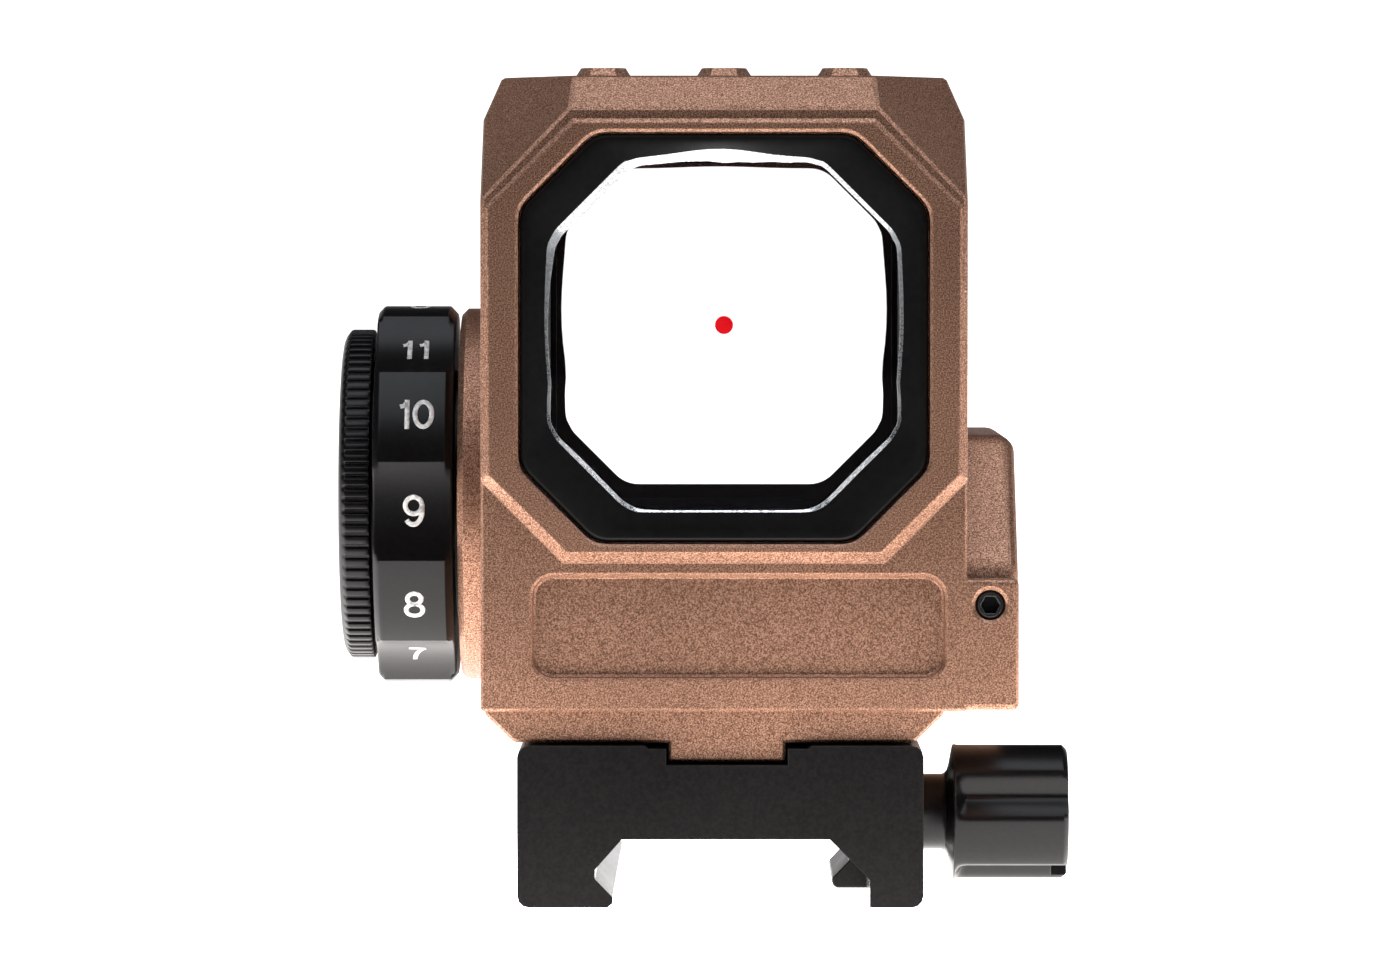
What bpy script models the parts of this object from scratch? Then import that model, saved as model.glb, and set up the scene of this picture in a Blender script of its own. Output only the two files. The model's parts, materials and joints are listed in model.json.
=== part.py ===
"""Closed red dot sight on a rail clamp: housing, windows, emitter adjustment, dial, battery and clamp.

X is right, Y forward and Z up. Dimensions are in millimetres, with y = 0 at the housing's rear face and
z = 0 at the rail seat, and become metres where a mesh is made. The part's own origin is SEAT_ORIGIN.
"""
import math

import bmesh
import bpy
from mathutils import Matrix, Vector

MM = 0.001
SEAT_ORIGIN = (0.0, 20.0, 0.0)   # on the rail seat, between the rear mount screw and the clamp bolt
GAP = 0.2                # assembly gap between pieces that touch
RUNNING = 0.06           # radial clearance of a shaft that turns in its bore
STEPS = 36               # sides of a large round piece
FINE_STEPS = 20          # sides of a small round piece
BOSS_STEPS = 60          # sides of the dial boss

# Housing
LENGTH = 74.0
HALF_WIDTH = 20.0
TOP_Z = 62.8
BASE_Z = 10.5            # underside of the main block
FACE_Y = 1.0             # lower rear face, set back from the bezel
EDGE = 0.22              # broken edge all round the housing
HOOD_EDGE = ((18.5, 62.8), (20.0, 59.3))
BROW_Y = 0.35            # upper rear face, above and beside the bezel
BROW_GAP = 0.03          # the brow's sides stand this much proud of the bezel's chamfer
BROW_LOW = 45.0          # the set-back lower face reaches up to here, inside the bezel
FACET_FOOT = (0.35, 60.1)  # y and z where the sloped top facet starts
FACET_HEAD = (3.5, 62.8)
CORNER_NORMAL = (0.652, -0.479, 0.63)
CORNER_OFFSET = 45.95
BEZEL = {"half": 19.3, "top": 58.86, "bottom": 23.6, "upper_sum": 71.15, "lower_difference": 10.7}
BEZEL_CHAMFER = 0.9
BEZEL_EDGE = 0.07
BEZEL_DEPTH = 3.0
RIB_X = (-10.0, 0.0, 10.0)
RIB_HALF = 2.3
RIB_SLOPE = 0.45
RIB_TOP_Z = 63.5
RIB_Y = (5.6, 68.4)

# Windows, given as half width, bottom z, top z, corner cut
SEAT_OUTLINE = (16.9, 24.3, 58.1, 6.2)
FRAME_OUTLINE = (16.75, 24.45, 57.95, 6.15)
APERTURE = (14.45, 26.9, 56.1, 6.5)
APERTURE_BULGE = 0.5     # the aperture's sides bow out in the middle
TUNNEL = (15.7, 25.2, 57.3, 6.0)
GLASS_OUTLINE = (16.5, 24.7, 57.7, 6.1)
REAR_SEAT_Y = 4.8
FRONT_SEAT_Y = 66.2
REAR_FRAME_Y = (0.45, 2.3)
REAR_GASKET_Y = (2.5, 2.9)
REAR_GLASS_Y = (3.1, 4.6)
FRONT_GASKET_Y = (66.4, 66.9)
FRONT_LENS_Y = (67.9, 70.9)
FRONT_LENS_TILT = math.radians(2.0)
FRONT_FRAME_Y = (71.9, 73.55)

# Lower face, keel and side box
POCKET_X = (-16.0, 18.4)
POCKET_Z = (13.0, 21.9)
POCKET_DEPTH = 1.0
KEEL_TOP_X = (-19.8, 18.2)
KEEL_BOTTOM_X = (-17.3, 15.7)
KEEL_BOTTOM_Z = 7.9
KEEL_Y = (1.8, 66.0)
TONGUE_X = (-4.55, 5.05)
TONGUE_Z = 6.3
BOX_X = 24.26
BOX_Y = (1.0, 44.0)
BOX_Z = (10.6, 21.4)
BOX_ROUND = 0.5
SLOPE_FOOT = (2.0, 22.4)
SLOPE_HEAD = (12.1, 33.0)
SLOPE_ROUND = 1.4

# Electronics bay under the tunnel
BAY_X = 10.5
BAY_Y = (8.6, 49.6)
BAY_Z = 13.2
COVER_X = 11.6
COVER_Y = (5.4, 52.6)
COVER_Z = (23.8, 25.0)
COVER_SCREWS_Y = (7.1, 51.1)
COVER_SCREW_X = 0.0
PANE_X = 4.2             # half width of the pane that the light source shines through
PANE_Y = (18.0, 40.8)
PANE_LEDGE = 0.9         # how far the cover reaches under the pane
WIRE_Y = 28.0
WIRE_Z = 18.0

# Dial and battery, on an axis along X
DIAL_Y = 25.0
DIAL_Z = 27.7
BOSS_R = 15.8
BOSS_X = -22.25
RECESS_R = 13.2
RECESS_X = -18.6
DIAL_X = (-29.3, -22.65)
DIAL_R = 16.0
DIAL_SCOOP_DEPTH = 1.2   # alternate sectors are scooped out for the fingers
DIAL_SECTORS = 12
DIAL_REST = math.radians(3.8)  # how far the sector facing the user stands below the axis at rest
HUB_R = 10.5
CELL_R = 10.0
CELL_X = (-28.55, -25.35)
CAP_X = (-32.3, -29.6)
CAP_R = 14.0
SKIRT_R = 12.0
DETENT_X = -20.85

# Adjusters
ADJUSTER_Z = 16.5
WINDAGE_Y = 17.0
ELEVATION_Y = 29.5
ADJUSTER_HEAD_R = 3.6
ADJUSTER_HEAD_X = (22.0, 24.0)
ADJUSTER_SHAFT_R = 1.25
RAMP = 0.25              # rise of the elevation wedge for each millimetre of travel
WEDGE_X = (-5.0, 5.0)
WEDGE_TOP = 20.2
WEDGE_LIFT = 0.4         # clearance between the wedge and the emitter holder's arm
LOCK_X = 21.9
LOCK_Z = 19.26
LOCK_R = 1.2

# Rail clamp
MOUNT_X = (-17.0, 16.4)
MOUNT_Y = (0.5, 60.0)
MOUNT_TOP = 7.7
MOUNT_ROUND = 0.95
MOUNT_BOTTOM = -5.62
MOUNT_SCREWS_Y = (10.0, 50.0)
MOUNT_SCREW_X = 0.25
JAW_Y = (20.0, 40.0)
JAW_X = 16.2
JAW_BACK = 12.65
BOLT_Y = 30.0
BOLT_Z = 0.2
BOLT_R = 2.4
NUT_X = (16.9, 29.45)
NUT_R = 5.8
NUT_NECK_R = 3.25
NUT_SCOOPS = 4
NUT_SCOOP_DEPTH = 1.4
NUT_SCOOP_HALF = math.radians(24)
NUT_REST = math.radians(157)  # where the middle of the first scoop stands at rest
NUT_STEPS = 60
GUIDE_PINS_Y = (23.2, 36.8)
GUIDE_PIN_Z = 2.2


# ---------------------------------------------------------------- materials

def material(name, color, roughness, metallic=0.0, alpha=1.0):
    made = bpy.data.materials.new(name)
    made.use_nodes = True
    shader = made.node_tree.nodes["Principled BSDF"]
    shader.inputs["Base Color"].default_value = (*color, 1.0)
    shader.inputs["Roughness"].default_value = roughness
    shader.inputs["Metallic"].default_value = metallic
    shader.inputs["Alpha"].default_value = alpha
    made.diffuse_color = (*color, alpha)
    return made


def make_materials():
    return {
        "bronze": material("bronze", (0.27, 0.15, 0.09), 0.5, 0.7),
        "black_frame": material("black_frame", (0.02, 0.02, 0.02), 0.55),
        "black_dial": material("black_dial", (0.022, 0.022, 0.024), 0.4, 0.2),
        "black_mount": material("black_mount", (0.03, 0.03, 0.03), 0.6, 0.3),
        "rubber": material("rubber", (0.02, 0.02, 0.02), 0.8),
        "clear_glass": material("clear_glass", (0.95, 0.97, 0.97), 0.02, 0.0, 0.2),
        "coated_glass": material("coated_glass", (0.75, 0.9, 0.95), 0.02, 0.0, 0.25),
        "steel": material("steel", (0.55, 0.55, 0.56), 0.3, 1.0),
        "black_steel": material("black_steel", (0.03, 0.03, 0.03), 0.35, 0.9),
        "brass": material("brass", (0.7, 0.5, 0.2), 0.3, 1.0),
        "plastic": material("plastic", (0.05, 0.05, 0.05), 0.5),
        "board": material("board", (0.02, 0.16, 0.06), 0.45),
        "wire": material("wire", (0.5, 0.03, 0.03), 0.5),
    }


# ---------------------------------------------------------------- mesh tools

def close_up(bm):
    bmesh.ops.recalc_face_normals(bm, faces=bm.faces)
    return bm


def loft(rings):
    """Closed solid through rings with the same number of points, in millimetres, capped at both ends."""
    bm = bmesh.new()
    loops = [[bm.verts.new(Vector(point) * MM) for point in ring] for ring in rings]
    count = len(loops[0])
    for near, far in zip(loops, loops[1:]):
        for i in range(count):
            j = (i + 1) % count
            bm.faces.new((near[i], near[j], far[j], far[i]))
    bm.faces.new(loops[0])
    bm.faces.new(loops[-1])
    return close_up(bm)


def tube(rings):
    """Closed ring-shaped solid: the last ring joins the first."""
    bm = bmesh.new()
    loops = [[bm.verts.new(Vector(point) * MM) for point in ring] for ring in rings]
    count = len(loops[0])
    for near, far in zip(loops, loops[1:] + loops[:1]):
        for i in range(count):
            j = (i + 1) % count
            bm.faces.new((near[i], near[j], far[j], far[i]))
    return close_up(bm)


def circle(x, radius, centre, steps=STEPS):
    """Ring of points round an axis along X."""
    angles = [2 * math.pi * i / steps for i in range(steps)]
    return [(x, centre[0] + radius * math.cos(a), centre[1] + radius * math.sin(a)) for a in angles]


def turned_x(profile, centre, steps=STEPS):
    """Solid turned round an axis along X from (x, radius) pairs."""
    return loft([circle(x, radius, centre, steps) for x, radius in profile])


def turned_ring_x(profile, centre, steps=STEPS):
    """Ring turned round an axis along X from a closed profile of (x, radius) pairs."""
    return tube([circle(x, radius, centre, steps) for x, radius in profile])


def turned_z(profile, centre, steps=FINE_STEPS):
    """Solid turned round an axis along Z from (z, radius) pairs."""
    bm = turned_x(profile, (0, 0), steps)
    turn = Matrix(((0, 1, 0, 0), (0, 0, 1, 0), (1, 0, 0, 0), (0, 0, 0, 1)))
    bmesh.ops.transform(bm, matrix=Matrix.Translation(Vector((*centre, 0)) * MM) @ turn, verts=bm.verts)
    return close_up(bm)


def turned_y(profile, centre, steps=FINE_STEPS):
    """Solid turned round an axis along Y from (y, radius) pairs; centre is x and z."""
    bm = turned_x(profile, (0, 0), steps)
    turn = Matrix(((0, 1, 0, 0), (1, 0, 0, 0), (0, 0, 1, 0), (0, 0, 0, 1)))
    place = Matrix.Translation(Vector((centre[0], 0, centre[1])) * MM)
    bmesh.ops.transform(bm, matrix=place @ turn, verts=bm.verts)
    return close_up(bm)


def block(x, y, z):
    """Box between two limits on each axis."""
    ring = [(x[0], y[0]), (x[1], y[0]), (x[1], y[1]), (x[0], y[1])]
    return loft([[(px, py, height) for px, py in ring] for height in z])


def convex(limits, planes):
    """Box between limits, cut by planes given as (normal, offset); the side past the offset goes."""
    bm = block(*limits)
    for normal, offset in planes:
        direction = Vector(normal)
        point = direction * (offset / direction.length_squared) * MM
        everything = bm.verts[:] + bm.edges[:] + bm.faces[:]
        bmesh.ops.bisect_plane(bm, geom=everything, dist=1e-7, plane_co=point,
                               plane_no=direction, clear_outer=True)
        rim = [edge for edge in bm.edges if edge.is_boundary]
        if rim:
            bmesh.ops.contextual_create(bm, geom=rim)
    return close_up(bm)


def round_corners(points, radius, steps=3):
    """Outline with each corner of a convex polygon turned into an arc."""
    rounded = []
    count = len(points)
    for i, corner in enumerate(points):
        here = Vector(corner)
        back = (Vector(points[i - 1]) - here).normalized()
        ahead = (Vector(points[(i + 1) % count]) - here).normalized()
        half = back.angle(ahead) / 2
        centre = here + (back + ahead).normalized() * (radius / math.sin(half))
        start = here + back * (radius / math.tan(half)) - centre
        sweep = math.pi - 2 * half
        turn = math.copysign(sweep, ahead.x * back.y - ahead.y * back.x)
        for k in range(steps + 1):
            angle = turn * k / steps
            cos, sin = math.cos(angle), math.sin(angle)
            rounded.append((centre.x + start.x * cos - start.y * sin,
                            centre.y + start.x * sin + start.y * cos))
    return rounded


def window(outline, inset=0.0, radius=2.5, bulge=None):
    """Octagonal window outline in X and Z. A bulge divides the sides and bows them out by that much."""
    half, bottom, top, cut = outline
    half, bottom, top = half - inset, bottom + inset, top - inset
    cut -= inset * (2 - math.sqrt(2))
    corners = [(half, bottom + cut), (half, top - cut), (half - cut, top), (cut - half, top),
               (-half, top - cut), (-half, bottom + cut), (cut - half, bottom), (half - cut, bottom)]
    points = round_corners(corners, radius)
    if bulge is None:
        return points
    middle = (bottom + top) / 2
    bowed = []
    for i, (px, pz) in enumerate(points):
        nx, nz = points[(i + 1) % len(points)]
        stations = 8 if math.hypot(nx - px, nz - pz) > half / 2 else 1
        for k in range(stations):
            x = px + (nx - px) * k / stations
            z = pz + (nz - pz) * k / stations
            along = (z - middle) if abs(x) > half * 0.98 else x
            swell = bulge * math.cos(min(abs(along) / half * 2, 1) * math.pi / 2) ** 2
            if abs(x) > half * 0.98:
                x += math.copysign(swell, x)
            elif abs(z - middle) > (top - bottom) / 2 * 0.98:
                z += math.copysign(swell, z - middle)
            bowed.append((x, z))
    return bowed


def at_y(points, y):
    return [(x, y, z) for x, z in points]


def at_z(points, z):
    return [(x, y, z) for x, y in points]


def section(points, y):
    """Prism of an X and Z outline between two y limits."""
    return loft([at_y(points, limit) for limit in y])


def stadium(x, half, y, steps=6):
    """Outline in X and Y of a slot along Y with round ends."""
    points = []
    for end, start in ((y[1] - half, 0.0), (y[0] + half, math.pi)):
        for k in range(steps + 1):
            angle = start + math.pi * k / steps
            points.append((x + half * math.cos(angle), end + half * math.sin(angle)))
    return points


# ---------------------------------------------------------------- objects

def add(name, bm, finish, origin=(0, 0, 0), smooth=30):
    """Object from a bmesh, with its origin at a point given in millimetres."""
    mesh = bpy.data.meshes.new(name)
    bm.to_mesh(mesh)
    bm.free()
    mesh.transform(Matrix.Translation(Vector(origin) * -MM))
    mesh.materials.append(finish)
    mesh.shade_smooth()
    mesh.set_sharp_from_angle(angle=math.radians(smooth))
    made = bpy.data.objects.new(name, mesh)
    made.location = (Vector(origin) - Vector(SEAT_ORIGIN)) * MM
    bpy.context.scene.collection.objects.link(made)
    return made


def apply_modifiers(target):
    bpy.context.view_layer.update()
    graph = bpy.context.evaluated_depsgraph_get()
    mesh = bpy.data.meshes.new_from_object(target.evaluated_get(graph))
    target.modifiers.clear()
    target.data = mesh
    mesh.shade_smooth()
    mesh.set_sharp_from_angle(angle=math.radians(30))


def combine(target, pieces, operation):
    """Join pieces to the target, or cut them out of it, and remove them."""
    for piece in pieces:
        tool = add("tool", piece, target.data.materials[0])
        cut = target.modifiers.new(operation, "BOOLEAN")
        cut.operation = operation
        cut.solver = "EXACT"
        cut.object = tool
        apply_modifiers(target)
        bpy.data.objects.remove(tool)


def edge_break(bm, width, segments=1, angle=25.0):
    """Bevel every edge of a bmesh that is sharper than the angle."""
    sharp = [edge for edge in bm.edges if edge.calc_face_angle(0) > math.radians(angle)]
    bmesh.ops.bevel(bm, geom=sharp, offset=width * MM, offset_type="OFFSET", segments=segments,
                    profile=0.5, affect="EDGES", clamp_overlap=True)
    return close_up(bm)


# ---------------------------------------------------------------- housing

def mirrored(normal):
    """The plane normal and its mirror image across the YZ plane."""
    return [normal, (-normal[0], normal[1], normal[2])]


def main_block():
    """Main block with long hood chamfers, sloped facets and corner facets at both ends."""
    (hx0, hz0), (hx1, hz1) = HOOD_EDGE
    hood = (hz0 - hz1, 0, hx1 - hx0)
    planes = [(n, hood[0] * hx0 + hood[2] * hz0) for n in mirrored(hood)]
    run, rise = FACET_HEAD[0] - FACET_FOOT[0], FACET_HEAD[1] - FACET_FOOT[1]
    planes.append(((0, -rise, run), run * FACET_FOOT[1] - rise * FACET_FOOT[0]))
    planes.append(((0, rise, run), run * FACET_FOOT[1] - rise * FACET_FOOT[0] + rise * LENGTH))
    for nx, ny, nz in mirrored(CORNER_NORMAL):
        planes.append(((nx, ny, nz), CORNER_OFFSET))
        planes.append(((nx, -ny, nz), CORNER_OFFSET - ny * LENGTH))
    limits = ((-HALF_WIDTH, HALF_WIDTH), (BROW_Y, LENGTH - BROW_Y), (BASE_Z, TOP_Z))
    return edge_break(convex(limits, planes), EDGE)


def face_steps():
    """Material taken off both ends below the brow, down to the lower face."""
    x, z = (-HALF_WIDTH - 1, HALF_WIDTH + 1), (BASE_Z - 1, BROW_LOW)
    return [block(x, (-1, FACE_Y), z), block(x, (LENGTH - FACE_Y, LENGTH + 1), z)]


def face_edges():
    """Wedges that break the sides and the bottom edge of the lower face at both ends."""
    wedges = []
    for y, ny, near in (((-1, 3), 1, FACE_Y), ((LENGTH - 3, LENGTH + 1), -1, FACE_Y - LENGTH)):
        across = (-HALF_WIDTH - 1, HALF_WIDTH + 1)
        plane = ((0, ny, 1), near + BASE_Z + EDGE)
        wedges.append(convex((across, y, (BASE_Z - 1, BASE_Z + 2)), [plane]))
        for side in (1, -1):
            x = sorted((side * (HALF_WIDTH - 2), side * (HALF_WIDTH + 1)))
            plane = ((-side, ny, 0), near - HALF_WIDTH + EDGE)
            wedges.append(convex((x, y, (BASE_Z - 1, BROW_LOW)), [plane]))
            plane = ((-side, ny, 0), near - FACE_Y - BEZEL["half"] - BROW_GAP)
            wedges.append(convex((x, y, (BROW_LOW, TOP_Z + 1)), [plane]))
    return wedges


def bezel(front):
    """Chamfered octagonal bezel round a window, at the rear or the front end."""
    root2 = math.sqrt(2)
    grow = BEZEL_CHAMFER
    lines = [((1, 0), BEZEL["half"]), ((-1, 0), BEZEL["half"]), ((0, 1), BEZEL["top"]),
             ((0, -1), -BEZEL["bottom"])]
    for side in (1, -1):
        lines.append(((side / root2, 1 / root2), BEZEL["upper_sum"] / root2))
        lines.append(((side / root2, -1 / root2), -BEZEL["lower_difference"] / root2))
    planes = []
    for (nx, nz), offset in lines:
        planes.append(((nx, 0, nz), offset + grow))
        if front:
            planes.append(((nx, 1, nz), offset + LENGTH))
        else:
            planes.append(((nx, -1, nz), offset))
    y = (LENGTH - BEZEL_DEPTH, LENGTH) if front else (0, BEZEL_DEPTH)
    limits = ((-HALF_WIDTH, HALF_WIDTH), y, (BASE_Z, TOP_Z))
    return edge_break(convex(limits, planes), BEZEL_EDGE)


def rib(x):
    """Low rib along the top with sloped sides and round ends."""
    heights = ((TOP_Z - 0.6, 0.0), (TOP_Z, 0.0), (RIB_TOP_Z, RIB_SLOPE))
    rings = []
    for height, inset in heights:
        limits = (RIB_Y[0] + inset, RIB_Y[1] - inset)
        rings.append(at_z(stadium(x, RIB_HALF - inset, limits), height))
    return loft(rings)


def keel():
    outline = [(KEEL_TOP_X[0] + 0.3, BASE_Z + 0.6), (KEEL_TOP_X[0], BASE_Z - 0.15),
               (KEEL_BOTTOM_X[0], KEEL_BOTTOM_Z), (KEEL_BOTTOM_X[1], KEEL_BOTTOM_Z),
               (KEEL_TOP_X[1], BASE_Z - 0.15), (KEEL_TOP_X[1] - 0.3, BASE_Z + 0.6)]
    return edge_break(section(outline, KEEL_Y), EDGE)


def side_box():
    lower = block((HALF_WIDTH - 2, BOX_X), BOX_Y, BOX_Z)
    run, rise = SLOPE_HEAD[0] - SLOPE_FOOT[0], SLOPE_HEAD[1] - SLOPE_FOOT[1]
    slope = ((0, -rise, run), run * SLOPE_FOOT[1] - rise * SLOPE_FOOT[0])
    limits = ((HALF_WIDTH - 2.4, BOX_X), (SLOPE_FOOT[0], BOX_Y[1]), (BOX_Z[1] - 2.0, SLOPE_HEAD[1]))
    upper = convex(limits, [slope])
    return [edge_break(lower, BOX_ROUND, 3), edge_break(upper, SLOPE_ROUND, 5)]


def dial_boss():
    centre = (DIAL_Y, DIAL_Z)
    return turned_x([(BOSS_X, BOSS_R - 0.5), (BOSS_X + 0.5, BOSS_R), (-18.0, BOSS_R)], centre, BOSS_STEPS)


def face_pocket():
    """Shallow rounded pocket in the lower rear face, with a chamfered mouth."""
    (x0, x1), (z0, z1) = POCKET_X, POCKET_Z
    rings = []
    for y, grow in ((FACE_Y - 0.5, 0.5), (FACE_Y + 0.25, -0.25), (FACE_Y + POCKET_DEPTH - 0.2, -0.3),
                    (FACE_Y + POCKET_DEPTH, -0.5)):
        corners = [(x0 - grow, z0 - grow), (x1 + grow, z0 - grow), (x1 + grow, z1 + grow),
                   (x0 - grow, z1 + grow)]
        rings.append(at_y(round_corners(corners, 2.0 + grow, 6), y))
    return loft(rings)


def window_seats():
    """Tunnel and the stepped seats at both ends, each with a chamfered mouth."""
    mouth = 0.25
    rear = loft([at_y(window(SEAT_OUTLINE, -mouth * 2), -mouth), at_y(window(SEAT_OUTLINE), mouth),
                 at_y(window(SEAT_OUTLINE), REAR_SEAT_Y)])
    front = loft([at_y(window(SEAT_OUTLINE), FRONT_SEAT_Y), at_y(window(SEAT_OUTLINE), LENGTH - mouth),
                  at_y(window(SEAT_OUTLINE, -mouth * 2), LENGTH + mouth)])
    return [section(window(TUNNEL), (REAR_SEAT_Y - 1, FRONT_SEAT_Y + 1)), rear, front]


def housing_cuts():
    centre = (DIAL_Y, DIAL_Z)
    cuts = window_seats() + [face_pocket()]
    cuts.append(turned_x([(BOSS_X - 1, RECESS_R), (RECESS_X, RECESS_R)], centre))
    cuts.append(block((-BAY_X, BAY_X), BAY_Y, (BAY_Z, TUNNEL[1] + 1)))
    cover = ((-COVER_X - GAP, COVER_X + GAP), (COVER_Y[0] - GAP, COVER_Y[1] + GAP))
    cuts.append(block(*cover, (COVER_Z[0] - GAP, TUNNEL[1] + 1)))
    for y in (WINDAGE_Y, ELEVATION_Y):
        bore = ADJUSTER_SHAFT_R + RUNNING
        head = ADJUSTER_HEAD_R + GAP
        profile = [(BAY_X - 1, bore), (ADJUSTER_HEAD_X[0] - GAP, bore), (ADJUSTER_HEAD_X[0] - GAP, head),
                   (BOX_X - 0.3, head), (BOX_X + 0.3, head + 0.6)]
        cuts.append(turned_x(profile, (y, ADJUSTER_Z), FINE_STEPS))
    lock = LOCK_R + RUNNING
    cuts.append(turned_y([(-1, lock + 0.3), (FACE_Y, lock + 0.3), (FACE_Y + 0.25, lock),
                          (WINDAGE_Y, lock)], (LOCK_X, LOCK_Z)))
    cuts.append(turned_z([(DIAL_Z - RECESS_R - 1.95, 0.95), (DIAL_Z - RECESS_R + 1.0, 0.95)],
                         (DETENT_X, DIAL_Y)))
    cuts.append(turned_x([(RECESS_X - 1, 1.1), (-BAY_X + 1, 1.1)], (WIRE_Y, WIRE_Z), FINE_STEPS))
    for y in MOUNT_SCREWS_Y:
        cuts.append(turned_z([(5.0, 1.55), (12.2, 1.55)], (MOUNT_SCREW_X, y)))
    for y in COVER_SCREWS_Y:
        cuts.append(turned_z([(COVER_Z[0] - 4.0, 0.86), (COVER_Z[0] + 1.0, 0.86)], (COVER_SCREW_X, y)))
    return cuts


def make_housing(finish):
    housing = add("housing", main_block(), finish)
    tongue = block(TONGUE_X, KEEL_Y, (TONGUE_Z, BASE_Z + 1))
    combine(housing, face_steps(), "DIFFERENCE")
    for wedge in face_edges():
        combine(housing, [wedge], "DIFFERENCE")
    joined = [bezel(False), bezel(True), keel(), edge_break(tongue, EDGE), *side_box(), dial_boss()]
    combine(housing, joined + [rib(x) for x in RIB_X], "UNION")
    combine(housing, housing_cuts(), "DIFFERENCE")


# ---------------------------------------------------------------- windows

def frame_ring(y, outward):
    """Window frame with a rounded outer edge on its visible side; outward is -1 at the rear."""
    seen, hidden = (y[0], y[1]) if outward < 0 else (y[1], y[0])
    step = -outward
    rings = []
    for inset, y in ((0.0, hidden), (0.0, seen + 0.5 * step), (0.15, seen + 0.15 * step), (0.5, seen)):
        rings.append(at_y(window(FRAME_OUTLINE, inset, bulge=0.0), y))
    for inset, y in ((-0.15, seen), (0.0, seen + 0.15 * step), (0.0, hidden)):
        rings.append(at_y(window(APERTURE, inset, bulge=APERTURE_BULGE), y))
    return tube(rings)


def gasket(y):
    outer = window(GLASS_OUTLINE, 0.1)
    inner = window(GLASS_OUTLINE, 1.3)
    return tube([at_y(outer, y[0]), at_y(outer, y[1]), at_y(inner, y[1]), at_y(inner, y[0])])


def make_windows(finishes):
    add("rear_frame", frame_ring(REAR_FRAME_Y, -1), finishes["black_frame"])
    add("rear_window_gasket", gasket(REAR_GASKET_Y), finishes["rubber"])
    glass = window(GLASS_OUTLINE)
    add("rear_window", edge_break(section(glass, REAR_GLASS_Y), 0.15), finishes["clear_glass"])
    add("front_lens_gasket", gasket(FRONT_GASKET_Y), finishes["rubber"])
    middle = (0, sum(FRONT_LENS_Y) / 2, sum(GLASS_OUTLINE[1:3]) / 2)
    lens = edge_break(section(glass, FRONT_LENS_Y), 0.2)
    lens = add("front_lens", lens, finishes["coated_glass"], middle)
    lens.rotation_euler = (FRONT_LENS_TILT, 0, 0)
    add("front_frame", frame_ring(FRONT_FRAME_Y, 1), finishes["black_frame"])


# ---------------------------------------------------------------- emitter and its adjustment

def make_cover(finishes):
    """Cover over the electronics bay, with a sealed pane above the light source."""
    plate = block((-COVER_X, COVER_X), COVER_Y, COVER_Z)
    cover = add("floor_cover", plate, finishes["plastic"])
    ledge_z = COVER_Z[1] - 0.7
    inner_y = (PANE_Y[0] + PANE_LEDGE, PANE_Y[1] - PANE_LEDGE)
    inner_x = PANE_X - PANE_LEDGE
    rebate_x = PANE_X + GAP / 2
    holes = [block((-inner_x, inner_x), inner_y, (COVER_Z[0] - 1, COVER_Z[1] + 1)),
             block((-rebate_x, rebate_x), (PANE_Y[0] - GAP / 2, PANE_Y[1] + GAP / 2),
                   (ledge_z, COVER_Z[1] + 1))]
    for y in COVER_SCREWS_Y:
        holes.append(turned_z([(COVER_Z[0] - 1, 0.8 + RUNNING), (COVER_Z[0] + 0.25, 0.8 + RUNNING),
                               (COVER_Z[0] + 0.25, 1.6), (COVER_Z[1] + 1, 1.6)], (COVER_SCREW_X, y)))
    combine(cover, holes, "DIFFERENCE")
    pane = block((-PANE_X, PANE_X), PANE_Y, (ledge_z + GAP / 4, COVER_Z[1] - GAP / 4))
    add("emitter_window", edge_break(pane, 0.1), finishes["clear_glass"])


def small_screw(profile, centre, socket_depth, top):
    """Screw with a hexagonal socket in its upper end."""
    bm = turned_z(profile, centre, FINE_STEPS)
    return bm, turned_z([(top - socket_depth, 0.45), (top + 0.5, 0.45)], centre, 6)


def make_cover_screws(finishes):
    top = COVER_Z[1] - 0.05
    for number, y in enumerate(COVER_SCREWS_Y, 1):
        profile = [(COVER_Z[0] - 3.6, 0.6), (COVER_Z[0] - 3.2, 0.8), (top - 0.45, 0.8), (top - 0.45, 1.4),
                   (top, 1.3)]
        body, socket = small_screw(profile, (COVER_SCREW_X, y), 0.35, top)
        screw = add(f"floor_cover_screw_{number}", body, finishes["black_steel"], (COVER_SCREW_X, y, top))
        combine(screw, [socket], "DIFFERENCE")


def make_carriages(finishes):
    carriage = block((-7.5, 7.5), (9.5, 24.0), (14.0, 18.9))
    origin = (0, WINDAGE_Y, ADJUSTER_Z)
    carriage = add("windage_carriage", edge_break(carriage, 0.2), finishes["brass"], origin)
    bore = ADJUSTER_SHAFT_R + RUNNING
    combine(carriage, [turned_x([(-1.0, bore), (9.0, bore)], (WINDAGE_Y, ADJUSTER_Z), FINE_STEPS)],
            "DIFFERENCE")
    (x0, x1), top = WEDGE_X, WEDGE_TOP
    outline = [(x0, 14.0), (x1, 14.0), (x1, top), (x0, top - (x1 - x0) * RAMP)]
    wedge = section(outline, (26.0, 33.0))
    wedge = add("elevation_wedge", edge_break(wedge, 0.2), finishes["brass"],
                (0, ELEVATION_Y, ADJUSTER_Z))
    combine(wedge, [turned_x([(-0.5, bore), (9.0, bore)], (ELEVATION_Y, ADJUSTER_Z), FINE_STEPS)],
            "DIFFERENCE")


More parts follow.
